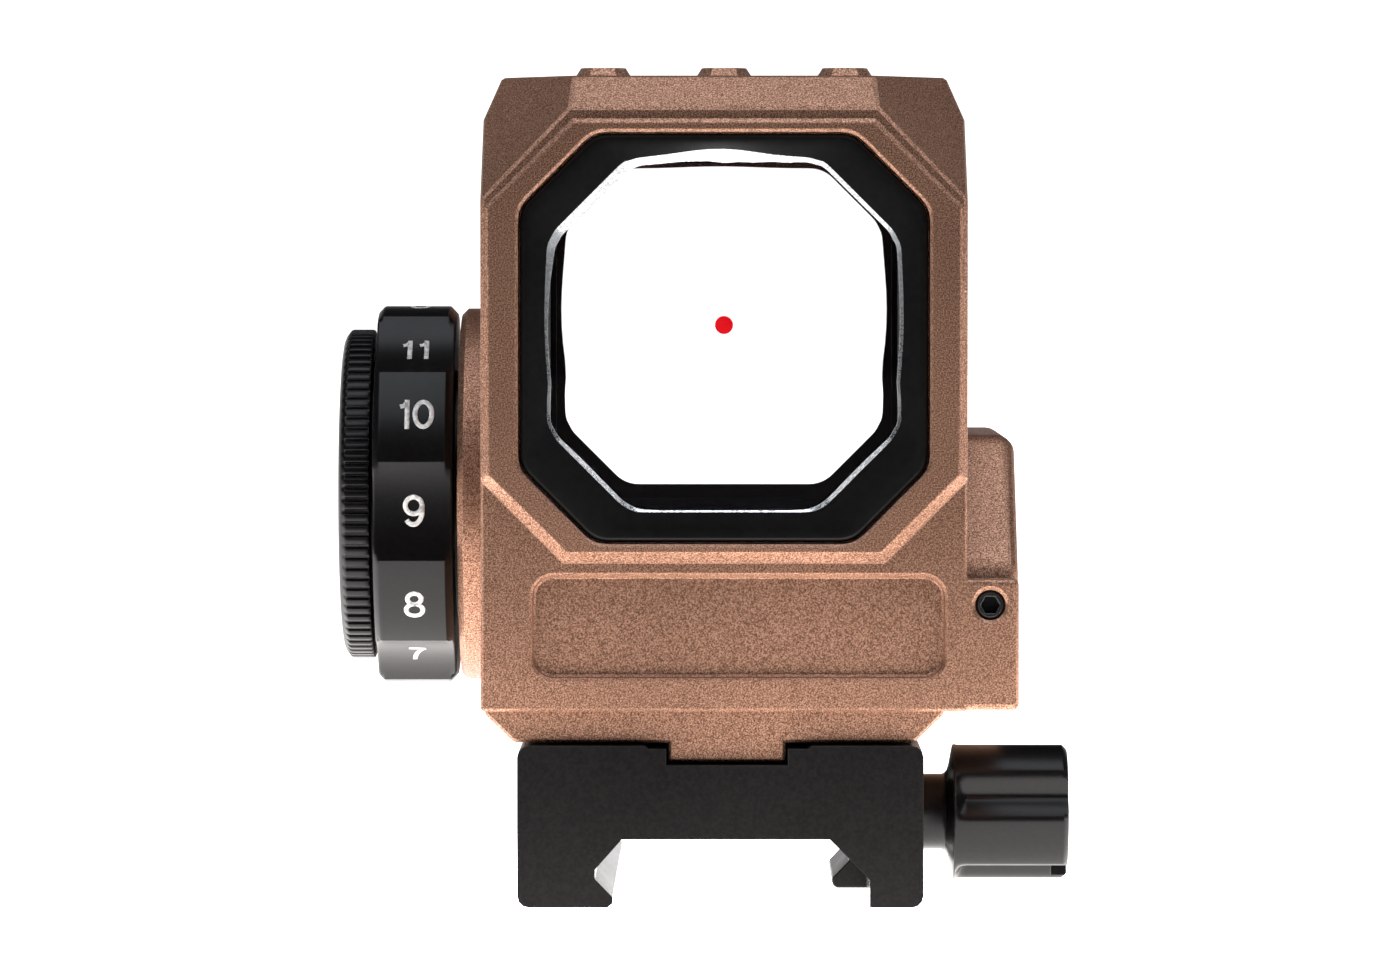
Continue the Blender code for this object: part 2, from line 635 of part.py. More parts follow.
def make_emitter(finishes):
    """Holder that carries the light source: a base over the carriage, an arm over the wedge and a post."""
    base_top, arm_top, post_top = 21.0, 21.7, 23.2
    base = block((-5.0, 5.0), (10.0, 25.0), (19.6, base_top))
    holder = add("emitter_holder", edge_break(base, 0.2), finishes["plastic"], (0, 13.5, base_top))
    (x0, x1), low = WEDGE_X, WEDGE_TOP + WEDGE_LIFT
    arm = [(x0, low - (x1 - x0) * RAMP), (x1 - 0.5, low - 0.5 * RAMP), (x1 - 0.5, arm_top), (x0, arm_top)]
    post = block((-2.4, 2.4), (11.2, 16.0), (base_top - 0.6, post_top))
    combine(holder, [section(arm, (24.6, 32.5)), edge_break(post, 0.2)], "UNION")
    board = block((-2.3, 2.3), (16.2, 16.9), (base_top + GAP, post_top))
    add("emitter_board", edge_break(board, 0.1), finishes["board"], (0, 16.5, post_top))
    led_z = (base_top + post_top) / 2
    led = turned_y([(17.1, 0.8), (17.7, 0.8), (18.1, 0.6), (18.3, 0.3)], (0, led_z), FINE_STEPS)
    add("led_emitter", led, finishes["clear_glass"], (0, 17.1, led_z))


def make_adjuster(name, y, end, finishes):
    """Slotted adjuster whose shaft crosses the housing wall."""
    x0, x1 = ADJUSTER_HEAD_X
    profile = [(end, ADJUSTER_SHAFT_R - 0.2), (end + 0.2, ADJUSTER_SHAFT_R), (x0, ADJUSTER_SHAFT_R),
               (x0, ADJUSTER_HEAD_R), (x1 - 0.25, ADJUSTER_HEAD_R), (x1, ADJUSTER_HEAD_R - 0.25)]
    origin = (x1, y, ADJUSTER_Z)
    adjuster = add(name, turned_x(profile, (y, ADJUSTER_Z), FINE_STEPS), finishes["black_steel"], origin)
    slot = block((x1 - 0.8, x1 + 1), (y - 4, y + 4), (ADJUSTER_Z - 0.45, ADJUSTER_Z + 0.45))
    combine(adjuster, [slot], "DIFFERENCE")


def coil(start, axis, length, radius, wire, turns, sides=4):
    """Closed helical spring along an axis; start is the middle of its first end."""
    around = 10
    count = int(turns * around)
    axis = Vector(axis)
    side = axis.orthogonal().normalized()
    up = axis.cross(side)
    pitch = length / count
    rings = []
    for i in range(count + 1):
        angle = 2 * math.pi * i / around
        out = side * math.cos(angle) + up * math.sin(angle)
        along = (up * math.cos(angle) - side * math.sin(angle)) * radius * 2 * math.pi / around
        tangent = (along + axis * pitch).normalized()
        binormal = tangent.cross(out)
        centre = Vector(start) + axis * pitch * i + out * radius
        ring = []
        for k in range(sides):
            turn = 2 * math.pi * k / sides
            ring.append(centre + out * wire * math.cos(turn) + binormal * wire * math.sin(turn))
        rings.append(ring)
    return loft(rings)


def make_electronics(finishes):
    add("windage_spring", coil((-10.1, WINDAGE_Y, ADJUSTER_Z), (1, 0, 0), 1.7, 1.2, 0.15, 3),
        finishes["steel"])
    board = edge_break(block((-9.0, 9.0), (37.0, 48.5), (14.0, 14.8)), 0.1)
    add("control_board", board, finishes["board"])
    path = [(-18.3, WIRE_Y, WIRE_Z), (-12.5, WIRE_Y, WIRE_Z), (-10.3, WIRE_Y + 0.5, WIRE_Z),
            (-9.3, WIRE_Y + 2.5, WIRE_Z - 0.2), (-9.0, 33.5, 17.2), (-8.6, 37.5, 16.0), (-8.0, 40.5, 15.4)]
    add("lead_wire", pipe(path, 0.35), finishes["wire"])


def pipe(path, radius, sides=8):
    """Closed round tube along a smooth curve through the given points."""
    line = bpy.data.curves.new("line", "CURVE")
    line.dimensions = "3D"
    spline = line.splines.new("BEZIER")
    spline.bezier_points.add(len(path) - 1)
    for point, place in zip(spline.bezier_points, path):
        point.co = Vector(place) * MM
        point.handle_left_type = point.handle_right_type = "AUTO"
    line.resolution_u = 4
    line.bevel_depth = radius * MM
    line.bevel_resolution = sides // 2 - 2
    line.use_fill_caps = True
    holder = bpy.data.objects.new("line", line)
    bpy.context.scene.collection.objects.link(holder)
    bpy.context.view_layer.update()
    graph = bpy.context.evaluated_depsgraph_get()
    mesh = bpy.data.meshes.new_from_object(holder.evaluated_get(graph))
    bm = bmesh.new()
    bm.from_mesh(mesh)
    bmesh.ops.remove_doubles(bm, verts=bm.verts, dist=1e-7)
    bpy.data.objects.remove(holder)
    return close_up(bm)


def make_lock_screw(finishes):
    profile = [(FACE_Y + 0.3, LOCK_R - 0.2), (FACE_Y + 0.5, LOCK_R), (13.6, LOCK_R), (14.1, LOCK_R - 0.5)]
    origin = (LOCK_X, FACE_Y + 0.3, LOCK_Z)
    screw = add("lock_screw", turned_y(profile, (LOCK_X, LOCK_Z)), finishes["black_steel"], origin)
    socket = turned_y([(0, 0.8), (FACE_Y + 1.8, 0.8)], (LOCK_X, LOCK_Z), 6)
    combine(screw, [socket], "DIFFERENCE")


# ---------------------------------------------------------------- dial and battery

def scooped(radius, half_width, depth, turn):
    """Radius of a round rim at an angle from the middle of a scoop cut into it by a cylinder."""
    middle = radius - depth
    half_chord = radius * math.sin(half_width)
    sag = radius * math.cos(half_width) - middle
    cutter = (half_chord ** 2 + sag ** 2) / (2 * sag)
    reach = middle + cutter
    return reach * math.cos(turn) - math.sqrt(cutter ** 2 - (reach * math.sin(turn)) ** 2)


def dial_outline(x, inset):
    """Rim of the dial seen along its axis: round, with every other sector scooped."""
    points = []
    sector = 2 * math.pi / DIAL_SECTORS
    for number in range(DIAL_SECTORS):
        for k in range(6):
            turn = sector * (k / 6 - 0.5)
            radius = DIAL_R - inset
            if number % 2 == 0:
                radius = min(radius, scooped(DIAL_R, sector / 2, DIAL_SCOOP_DEPTH, turn))
            angle = DIAL_REST + math.pi + number * sector + turn
            points.append((x, DIAL_Y + radius * math.cos(angle), DIAL_Z + radius * math.sin(angle)))
    return points


def make_dial(finishes):
    centre = (DIAL_Y, DIAL_Z)
    x0, x1 = DIAL_X
    rings = [dial_outline(x0, 0.45), dial_outline(x0 + 0.4, 0.0), dial_outline(x1 - 0.6, 0.0),
             dial_outline(x1, 0.6)]
    origin = (x1, DIAL_Y, DIAL_Z)
    dial = add("brightness_dial", loft(rings), finishes["black_dial"], origin)
    combine(dial, [turned_x([(x1 - 1, HUB_R), (-21.5, HUB_R)], centre)], "UNION")
    bore = [(x0 - 1, 12.65), (-28.35, 12.65), (-28.35, SKIRT_R + RUNNING), (-27.2, SKIRT_R + RUNNING),
            (-27.2, CELL_R + 0.3), (-24.9, CELL_R + 0.3)]
    cuts = [turned_x(bore, centre), turned_x([(-25.5, 2.0), (-20.5, 2.0)], centre, FINE_STEPS)]
    for y, z in hub_screw_places():
        cuts.append(turned_x([(-24.2, 0.95), (-20.5, 0.95)], (y, z), FINE_STEPS))
    combine(dial, cuts, "DIFFERENCE")


def hub_screw_places():
    angles = [math.radians(90 + 120 * k) for k in range(3)]
    return [(DIAL_Y + 6.5 * math.cos(a), DIAL_Z + 6.5 * math.sin(a)) for a in angles]


def make_hub(finishes):
    """Flange behind the dial, with one detent notch for each of the dial's positions."""
    centre = (DIAL_Y, DIAL_Z)
    origin = (-20.6, DIAL_Y, DIAL_Z)
    hub = add("dial_hub", turned_x([(-21.3, 12.3), (-20.4, 12.3)], centre), finishes["brass"], origin)
    cuts = [turned_x([(-22, 2.4), (-20, 2.4)], centre, FINE_STEPS)]
    for k in range(DIAL_SECTORS):
        angle = 2 * math.pi * k / DIAL_SECTORS - math.pi / 2
        notch = (DIAL_Y + 12.7 * math.cos(angle), DIAL_Z + 12.7 * math.sin(angle))
        cuts.append(turned_x([(-22, 0.9), (-20, 0.9)], notch, 8))
    for y, z in hub_screw_places():
        cuts.append(turned_x([(-22, 0.8 + RUNNING), (-20.95, 0.8 + RUNNING), (-20.95, 1.5), (-20, 1.5)],
                             (y, z), FINE_STEPS))
    combine(hub, cuts, "DIFFERENCE")
    for number, (y, z) in enumerate(hub_screw_places(), 1):
        profile = [(-23.8, 0.6), (-23.6, 0.8), (-20.85, 0.8), (-20.85, 1.4), (-20.45, 1.4)]
        add(f"dial_hub_screw_{number}", turned_x(profile, (y, z), 16), finishes["steel"], (-20.45, y, z))


def make_dial_internals(finishes):
    centre = (DIAL_Y, DIAL_Z)
    ring = [(-21.95, 10.75), (-21.95, 12.95), (-21.5, 12.95), (-21.5, 10.75)]
    add("dial_retainer_ring", turned_ring_x(ring, centre), finishes["steel"], (-21.7, *centre))
    wiper = [(-20.2, 8.6), (-20.2, 9.8), (-19.95, 9.8), (-19.95, 8.6)]
    add("wiper_contact", turned_ring_x(wiper, centre), finishes["brass"], (-20.1, *centre))
    board = [(-19.75, 3.0), (-19.75, 12.6), (-18.85, 12.6), (-18.85, 3.0)]
    add("switch_board", turned_ring_x(board, centre), finishes["board"], (-19.3, *centre))
    ball_z = DIAL_Z - RECESS_R + 0.1
    ball = [(ball_z - 0.75, 0.1)]
    ball += [(ball_z + 0.75 * math.sin(math.radians(a)), 0.75 * math.cos(math.radians(a)))
             for a in range(-60, 61, 20)]
    ball.append((ball_z + 0.75, 0.1))
    add("detent_ball", turned_z(ball, (DETENT_X, DIAL_Y), 16), finishes["steel"],
        (DETENT_X, DIAL_Y, ball_z))
    add("detent_spring", coil((DETENT_X, DIAL_Y, ball_z - 1.8), (0, 0, 1), 0.85, 0.55, 0.1, 3),
        finishes["steel"])


def make_battery(finishes):
    centre = (DIAL_Y, DIAL_Z)
    x0, x1 = CELL_X
    cell = [(x0, CELL_R - 0.3), (x0 + 0.3, CELL_R), (x1 - 0.9, CELL_R), (x1 - 0.7, CELL_R - 0.9),
            (x1, CELL_R - 1.3)]
    add("coin_cell", turned_x(cell, centre), finishes["steel"], (x0, *centre))
    leaf = [(-25.2, 3.4), (-25.2, 5.8), (-25.02, 5.8), (-25.02, 3.4)]
    add("battery_contact", turned_ring_x(leaf, centre, FINE_STEPS), finishes["brass"], (-25.0, *centre))
    leaf = [(-28.95, 2.5), (-28.95, 6.5), (-28.75, 6.5), (-28.75, 2.5)]
    add("cap_contact_spring", turned_ring_x(leaf, centre, FINE_STEPS), finishes["brass"], (-28.9, *centre))
    seal = []
    for k in range(6):
        angle = 2 * math.pi * k / 6
        seal.append((-28.98 + 0.45 * math.cos(angle), 12.05 + 0.45 * math.sin(angle)))
    add("cap_seal_ring", turned_ring_x(seal, centre), finishes["rubber"], (-29.0, *centre))


def make_cap(finishes):
    """Battery cap: a domed head with a skirt round the cell."""
    centre = (DIAL_Y, DIAL_Z)
    x0, x1 = CAP_X
    head = [(x0, 6.0), (x0 + 0.3, CAP_R - 1.2), (x0 + 1.0, CAP_R), (x1 - 0.25, CAP_R), (x1, CAP_R - 0.4)]
    cap = add("battery_cap", turned_x(head, centre, BOSS_STEPS), finishes["black_dial"], (x1, *centre))
    neck = [(x1 - 0.5, 11.35), (-28.45, 11.35), (-28.45, SKIRT_R), (-27.6, SKIRT_R), (-27.4, SKIRT_R - 0.2)]
    combine(cap, [turned_x(neck, centre)], "UNION")
    combine(cap, [turned_x([(-29.2, CELL_R + 0.3), (-27.0, CELL_R + 0.3)], centre)], "DIFFERENCE")


# ---------------------------------------------------------------- rail clamp

def quarter(x, z, start):
    """Quarter circle in X and Z for an outer corner of the clamp base, turning from a start angle."""
    angles = [math.radians(start + 30 * k) for k in range(4)]
    return [(x + MOUNT_ROUND * math.cos(a), z + MOUNT_ROUND * math.sin(a)) for a in angles]


def mount_outline():
    """Clamp base in X and Z: top with the groove for the housing's tongue, fixed claw on the left."""
    left, right = MOUNT_X
    low, high = MOUNT_BOTTOM, MOUNT_TOP
    groove_l, groove_r = TONGUE_X[0] - GAP, TONGUE_X[1] + GAP
    floor = TONGUE_Z - GAP
    claw = [(-9.6, low), (-9.16, low + 0.35), (-9.16, -4.75), (-10.62, -3.25), (-10.62, -2.5), (-8.4, 0.0)]
    wall = [(8.7, 0.0), (12.0, -3.3), (12.0, low)]
    groove = [(7.2, high), (6.9, high - 0.25), (groove_r, high - 0.25), (groove_r, floor),
              (groove_l, floor), (groove_l, high - 0.25), (-6.2, high - 0.25), (-6.5, high)]
    left, right = left + MOUNT_ROUND, right - MOUNT_ROUND
    low, high = low + MOUNT_ROUND, high - MOUNT_ROUND
    return (claw + wall + quarter(right, low, -90) + quarter(right, high, 0) + groove
            + quarter(left, high, 90) + quarter(left, low, 180))


def make_mount(finishes):
    mount = add("mount_base", section(mount_outline(), MOUNT_Y), finishes["black_mount"])
    pocket_x, top = JAW_BACK - 0.35, 4.9
    jaw_room = block((pocket_x, MOUNT_X[1] + 1), (JAW_Y[0] - GAP, JAW_Y[1] + GAP), (MOUNT_BOTTOM - 1, top))
    under = [(8.95, -0.25), (pocket_x + 0.1, -0.25), (pocket_x + 0.1, -7.0), (8.95, -7.0)]
    cuts = [jaw_room, section(under, (JAW_Y[0] - GAP, JAW_Y[1] + GAP))]
    cuts.append(turned_x([(MOUNT_X[0] - 1, 3.7), (-14.2, 3.7), (-14.2, BOLT_R + RUNNING),
                          (MOUNT_X[1], BOLT_R + RUNNING)], (BOLT_Y, BOLT_Z), FINE_STEPS))
    for y in MOUNT_SCREWS_Y:
        cuts.append(turned_z([(-1, 2.95), (2.4, 2.95), (2.4, 1.6), (9, 1.6)], (MOUNT_SCREW_X, y)))
    for y in GUIDE_PINS_Y:
        cuts.append(turned_x([(7.0, 1.0 + RUNNING), (14.0, 1.0 + RUNNING)], (y, GUIDE_PIN_Z), 16))
    combine(mount, cuts, "DIFFERENCE")


def make_mount_fixings(finishes):
    for number, y in enumerate(MOUNT_SCREWS_Y, 1):
        profile = [(0.3, 2.5), (0.6, 2.75), (2.2, 2.75), (2.2, 1.45), (11.4, 1.45), (11.8, 1.1)]
        screw = add(f"mount_screw_{number}", turned_z(profile, (MOUNT_SCREW_X, y)),
                    finishes["black_steel"], (MOUNT_SCREW_X, y, 0.3))
        socket = turned_z([(-1, 1.2), (1.5, 1.2)], (MOUNT_SCREW_X, y), 6)
        combine(screw, [socket], "DIFFERENCE")
    for number, y in enumerate(GUIDE_PINS_Y, 1):
        pin = turned_x([(7.2, 1.0), (15.2, 1.0), (15.4, 0.8)], (y, GUIDE_PIN_Z), 16)
        add(f"jaw_guide_pin_{number}", pin, finishes["steel"], (7.2, y, GUIDE_PIN_Z))


def make_jaw(finishes):
    low = MOUNT_BOTTOM + 0.02
    outline = [(9.5, low), (9.16, low + 0.35), (9.16, -4.75), (10.62, -3.25), (10.62, -2.7),
               (JAW_BACK, -0.7), (JAW_BACK, 4.6), (JAW_X - 0.3, 4.6), (JAW_X, 4.3), (JAW_X, low + 0.5),
               (JAW_X - 0.5, low)]
    origin = (JAW_BACK, BOLT_Y, BOLT_Z)
    jaw = add("clamp_jaw", edge_break(section(outline, JAW_Y), 0.12), finishes["black_mount"], origin)
    bore = BOLT_R + RUNNING
    cuts = [turned_x([(8, 3.5), (14.6, 3.5), (14.6, bore), (18, bore)], (BOLT_Y, BOLT_Z), FINE_STEPS)]
    for y in GUIDE_PINS_Y:
        cuts.append(turned_x([(12, 1.0 + RUNNING), (15.7, 1.0 + RUNNING)], (y, GUIDE_PIN_Z), 16))
    combine(jaw, cuts, "DIFFERENCE")
    spring = coil((JAW_BACK + 0.15, BOLT_Y, BOLT_Z), (1, 0, 0), 1.4, 2.95, 0.22, 2.5)
    add("jaw_spring", spring, finishes["steel"])


def make_bolt(finishes):
    centre = (BOLT_Y, BOLT_Z)
    profile = [(-16.7, 3.3), (-16.4, 3.5), (-14.4, 3.5), (-14.4, BOLT_R), (26.3, BOLT_R), (26.7, BOLT_R - 0.4)]
    bolt = add("cross_bolt", turned_x(profile, centre, FINE_STEPS), finishes["black_steel"], (-14.4, *centre))
    combine(bolt, [turned_x([(-18, 1.7), (-15.0, 1.7)], centre, 6)], "DIFFERENCE")


def nut_outline(x, inset):
    """Grip of the nut seen along its axis: round, with four scoops for the fingers."""
    points = []
    pitch = 2 * math.pi / NUT_SCOOPS
    for i in range(NUT_STEPS):
        angle = 2 * math.pi * i / NUT_STEPS
        turn = (angle - NUT_REST + pitch / 2) % pitch - pitch / 2
        radius = NUT_R - inset
        if abs(turn) < NUT_SCOOP_HALF:
            radius = min(radius, scooped(NUT_R, NUT_SCOOP_HALF, NUT_SCOOP_DEPTH, turn))
        points.append((x, BOLT_Y + radius * math.cos(angle), BOLT_Z + radius * math.sin(angle)))
    return points


def make_nut(finishes):
    centre = (BOLT_Y, BOLT_Z)
    x0, x1 = NUT_X
    rings = [circle(x0, NUT_NECK_R, centre, NUT_STEPS), circle(19.1, NUT_NECK_R, centre, NUT_STEPS),
             circle(19.9, NUT_R - 0.1, centre, NUT_STEPS), nut_outline(20.5, 0.0),
             nut_outline(x1 - 0.4, 0.0), nut_outline(x1, 0.4)]
    nut = add("thumb_nut", loft(rings), finishes["black_dial"], (x0, *centre))
    bore = turned_x([(x0 - 1, BOLT_R + RUNNING), (27.0, BOLT_R + RUNNING)], centre)
    coin_slot = block((x1 - 1.35, x1 + 1), (BOLT_Y - 8, BOLT_Y + 8), (-0.65, 0.65))
    turn = Matrix.Rotation(math.radians(80), 4, "X")
    place = Matrix.Translation(Vector((0, BOLT_Y, BOLT_Z)) * MM)
    back = Matrix.Translation(Vector((0, -BOLT_Y, 0)) * MM)
    bmesh.ops.transform(coin_slot, matrix=place @ turn @ back, verts=coin_slot.verts)
    combine(nut, [bore, coin_slot], "DIFFERENCE")
    washer = [(JAW_X + 0.1, BOLT_R + 0.15), (JAW_X + 0.1, 4.2), (x0 - 0.1, 4.2), (x0 - 0.1, BOLT_R + 0.15)]
    add("nut_washer", turned_ring_x(washer, centre, FINE_STEPS), finishes["steel"], (JAW_X, *centre))


def main():
    for old in list(bpy.data.objects):
        bpy.data.objects.remove(old)
    finishes = make_materials()
    make_housing(finishes["bronze"])
    make_windows(finishes)
    make_cover(finishes)
    make_cover_screws(finishes)
    make_carriages(finishes)
    make_emitter(finishes)
    make_adjuster("windage_adjuster", WINDAGE_Y, 2.0, finishes)
    make_adjuster("elevation_adjuster", ELEVATION_Y, 1.5, finishes)
    make_electronics(finishes)
    make_lock_screw(finishes)
    make_dial(finishes)
    make_hub(finishes)
    make_dial_internals(finishes)
    make_battery(finishes)
    make_cap(finishes)
    make_mount(finishes)
    make_mount_fixings(finishes)
    make_jaw(finishes)
    make_bolt(finishes)
    make_nut(finishes)


main()
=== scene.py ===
"""Looks of the closed red dot sight: finer visible pieces, finishes, studio light and camera.

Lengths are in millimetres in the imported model's frame and become metres where a mesh is made; the
studio and the camera are in metres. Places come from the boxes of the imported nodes.
"""
import json
import math

import bmesh
import bpy
from mathutils import Matrix, Vector


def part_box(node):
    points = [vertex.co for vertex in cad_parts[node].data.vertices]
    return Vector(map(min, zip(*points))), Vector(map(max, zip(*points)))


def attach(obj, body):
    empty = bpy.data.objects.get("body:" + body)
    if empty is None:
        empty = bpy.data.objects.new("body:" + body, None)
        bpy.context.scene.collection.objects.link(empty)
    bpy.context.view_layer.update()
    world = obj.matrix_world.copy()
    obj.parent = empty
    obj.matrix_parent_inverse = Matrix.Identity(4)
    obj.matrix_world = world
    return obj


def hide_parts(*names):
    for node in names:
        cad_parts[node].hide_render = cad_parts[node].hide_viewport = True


MM = 0.001

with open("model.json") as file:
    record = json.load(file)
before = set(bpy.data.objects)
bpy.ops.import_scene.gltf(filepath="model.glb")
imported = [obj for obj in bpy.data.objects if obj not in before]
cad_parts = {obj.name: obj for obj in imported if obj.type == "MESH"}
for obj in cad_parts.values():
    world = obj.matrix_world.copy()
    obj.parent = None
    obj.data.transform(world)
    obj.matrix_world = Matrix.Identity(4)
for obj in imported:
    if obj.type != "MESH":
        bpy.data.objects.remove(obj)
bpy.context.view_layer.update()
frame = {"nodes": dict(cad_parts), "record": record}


def limits(node):
    """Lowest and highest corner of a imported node, in millimetres."""
    return tuple(Vector(corner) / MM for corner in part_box(node))


HOUSING = limits("housing")
FLOOR_Z = limits("mount_base")[0].z
RAIL_TOP_Z = 0.0         # the model's origin is on the rail's top


# ---------------------------------------------------------------- material tools

def node(tree, kind, sockets=None, **settings):
    """Shader node with its settings, and with values or links on its sockets."""
    made = tree.nodes.new(kind)
    for name, value in settings.items():
        setattr(made, name, value)
    for name, value in (sockets or {}).items():
        if isinstance(value, bpy.types.NodeSocket):
            tree.links.new(value, made.inputs[name])
        else:
            made.inputs[name].default_value = value
    return made


def ramp(tree, factor, stops):
    """Colour ramp; each stop is a place and a grey level or a colour."""
    made = node(tree, "ShaderNodeValToRGB", {"Fac": factor})
    elements = made.color_ramp.elements
    while len(elements) < len(stops):
        elements.new(0.5)
    for element, (place, color) in zip(elements, stops):
        element.position = place
        grey = isinstance(color, (int, float))
        element.color = (color, color, color, 1) if grey else (*color, 1)
    return made.outputs["Color"]


def math_node(tree, operation, first, second=0.0, clamp=False):
    """Sum, product or other operation on values or sockets."""
    made = node(tree, "ShaderNodeMath", operation=operation, use_clamp=clamp)
    for socket, value in zip(made.inputs, (first, second)):
        if isinstance(value, bpy.types.NodeSocket):
            tree.links.new(value, socket)
        else:
            socket.default_value = value
    return made.outputs[0]


def mix(tree, factor, first, second, blend="MIX"):
    """Mix of two colours; the RGBA sockets of the Mix node have these numbers only."""
    made = node(tree, "ShaderNodeMix", data_type="RGBA", blend_type=blend)
    for index, value in ((0, factor), (6, first), (7, second)):
        if isinstance(value, bpy.types.NodeSocket):
            tree.links.new(value, made.inputs[index])
        else:
            made.inputs[index].default_value = (*value, 1) if isinstance(value, tuple) else value
    return made.outputs[2]


def blank(name):
    """Material with a Principled shader, its tree, and object coordinates in metres."""
    made = bpy.data.materials.new(name)
    made.use_nodes = True
    tree = made.node_tree
    place = node(tree, "ShaderNodeTexCoord").outputs["Object"]
    return made, tree, tree.nodes["Principled BSDF"], place


def noise(tree, place, scale, detail, roughness):
    """Fractal noise from 0 to 1; scale is in cells per metre."""
    return node(tree, "ShaderNodeTexNoise", {"Vector": place, "Scale": scale, "Detail": detail,
                                             "Roughness": roughness}).outputs["Fac"]


def edge_mask(tree, radius):
    """1 on edges that are rounder than a flat face, 0 elsewhere."""
    rounded = rounded_normal(tree, radius)
    flat = node(tree, "ShaderNodeNewGeometry").outputs["Normal"]
    facing = node(tree, "ShaderNodeVectorMath", operation="DOT_PRODUCT")
    tree.links.new(rounded, facing.inputs[0])
    tree.links.new(flat, facing.inputs[1])
    return math_node(tree, "SUBTRACT", 1.0, facing.outputs["Value"])


def bump(tree, height, distance, strength, under=None):
    """Normal from a height and its depth in metres, on top of another normal where one is given."""
    made = node(tree, "ShaderNodeBump", {"Height": height, "Distance": distance, "Strength": strength})
    if under is not None:
        tree.links.new(under, made.inputs["Normal"])
    return made.outputs["Normal"]


def rounded_normal(tree, radius):
    """Normal that rounds every edge in the shading by a radius in metres."""
    return node(tree, "ShaderNodeBevel", {"Radius": radius}, samples=4).outputs["Normal"]


# ---------------------------------------------------------------- finishes

def bronze_finish():
    """Bead-blasted aluminium with a bronze anodised colour, its machined edges a little lighter: partly
    edge wear, partly a painted highlight.
    """
    made, tree, shader, place = blank("bronze_anodised")
    grain = noise(tree, place, 8200, 2.0, 0.6)
    specks = noise(tree, place, 13000, 1.0, 0.5)
    clouds = noise(tree, place, 60, 3.0, 0.5)
    base = ramp(tree, grain, [(0.36, (0.12, 0.056, 0.033)), (0.5, (0.31, 0.16, 0.1)),
                              (0.65, (0.58, 0.325, 0.225))])
    dark = ramp(tree, specks, [(0.30, 0.35), (0.42, 1.0)])
    color = mix(tree, 0.8, base, dark, "MULTIPLY")
    shade = ramp(tree, clouds, [(0.35, 0.9), (0.65, 1.06)])
    color = mix(tree, 1.0, color, shade, "MULTIPLY")
    # lighter edges: partly edge wear, partly a painted highlight where the rounded edges catch the light
    lighter_edges = ramp(tree, edge_mask(tree, 0.00012), [(0.04, 0.0), (0.25, 0.7)])
    lighter_edges = math_node(tree, "MULTIPLY", lighter_edges, ramp(tree, grain, [(0.35, 0.15), (0.6, 0.75)]))
    color = mix(tree, lighter_edges, color, (0.72, 0.52, 0.40))
    tree.links.new(color, shader.inputs["Base Color"])
    rough = ramp(tree, grain, [(0.3, 0.55), (0.7, 0.4)])
    tree.links.new(rough, shader.inputs["Roughness"])
    shader.inputs["Metallic"].default_value = 0.72
    height = math_node(tree, "ADD", grain, math_node(tree, "MULTIPLY", specks, 0.5))
    normal = bump(tree, height, 0.00003, 0.55, rounded_normal(tree, 0.00008))
    tree.links.new(normal, shader.inputs["Normal"])
    return made


def black_finish(name, tone, rough, grain_scale, grain_depth, wear=0.0, metallic=0.0, specular=0.5,
                 rounding=0.0001):
    """Anodised, moulded or painted surface: fine grain, cloudy sheen and lighter edges where wear shows."""
    made, tree, shader, place = blank(name)
    grain = noise(tree, place, grain_scale, 3.0, 0.6)
    clouds = noise(tree, place, 90, 4.0, 0.55)
    low = tuple(channel * 0.7 for channel in tone)
    high = tuple(channel * 1.35 for channel in tone)
    color = ramp(tree, grain, [(0.35, low), (0.65, high)])
    if wear:
        lighter_edges = ramp(tree, edge_mask(tree, 0.00018), [(0.03, 0.0), (0.3, wear)])
        lighter_edges = math_node(tree, "MULTIPLY", lighter_edges, ramp(tree, clouds, [(0.35, 0.2), (0.6, 1.0)]))
        color = mix(tree, lighter_edges, color, (0.32, 0.31, 0.30))
    tree.links.new(color, shader.inputs["Base Color"])
    spread = ramp(tree, clouds, [(0.3, rough * 0.85), (0.7, min(1.0, rough * 1.15))])
    tree.links.new(spread, shader.inputs["Roughness"])
    shader.inputs["Metallic"].default_value = metallic
    shader.inputs["Specular IOR Level"].default_value = specular
    normal = bump(tree, grain, grain_depth, 0.5, rounded_normal(tree, rounding) if rounding else None)
    tree.links.new(normal, shader.inputs["Normal"])
    return made


def tunnel_finish():
    """Matt lining of the window tunnel, its roof painted paler than its floor: painted light on the roof
    and painted shade on the floor.
    """
    made, tree, shader, place = blank("tunnel_lining_painted_light")
    grain = noise(tree, place, 5200, 2.0, 0.6)
    up = node(tree, "ShaderNodeSeparateXYZ", {"Vector": place}).outputs["Z"]
    level = math_node(tree, "MULTIPLY", up, 10.0)      # 0 to 1 over 100 mm of height
    # painted light and shade: the colour rises with height from near black at the floor to pale brown at
    # the roof
    tone = ramp(tree, level, [(0.3, (0.007, 0.006, 0.006)), (0.5, (0.02, 0.017, 0.015)),
                              (0.58, (0.13, 0.11, 0.098))])
    speckle = ramp(tree, grain, [(0.35, 0.6), (0.65, 1.3)])
    tree.links.new(mix(tree, 1.0, tone, speckle, "MULTIPLY"), shader.inputs["Base Color"])
    shader.inputs["Roughness"].default_value = 0.8
    shader.inputs["Specular IOR Level"].default_value = 0.25
    tree.links.new(bump(tree, grain, 0.00001, 0.4), shader.inputs["Normal"])
    return made


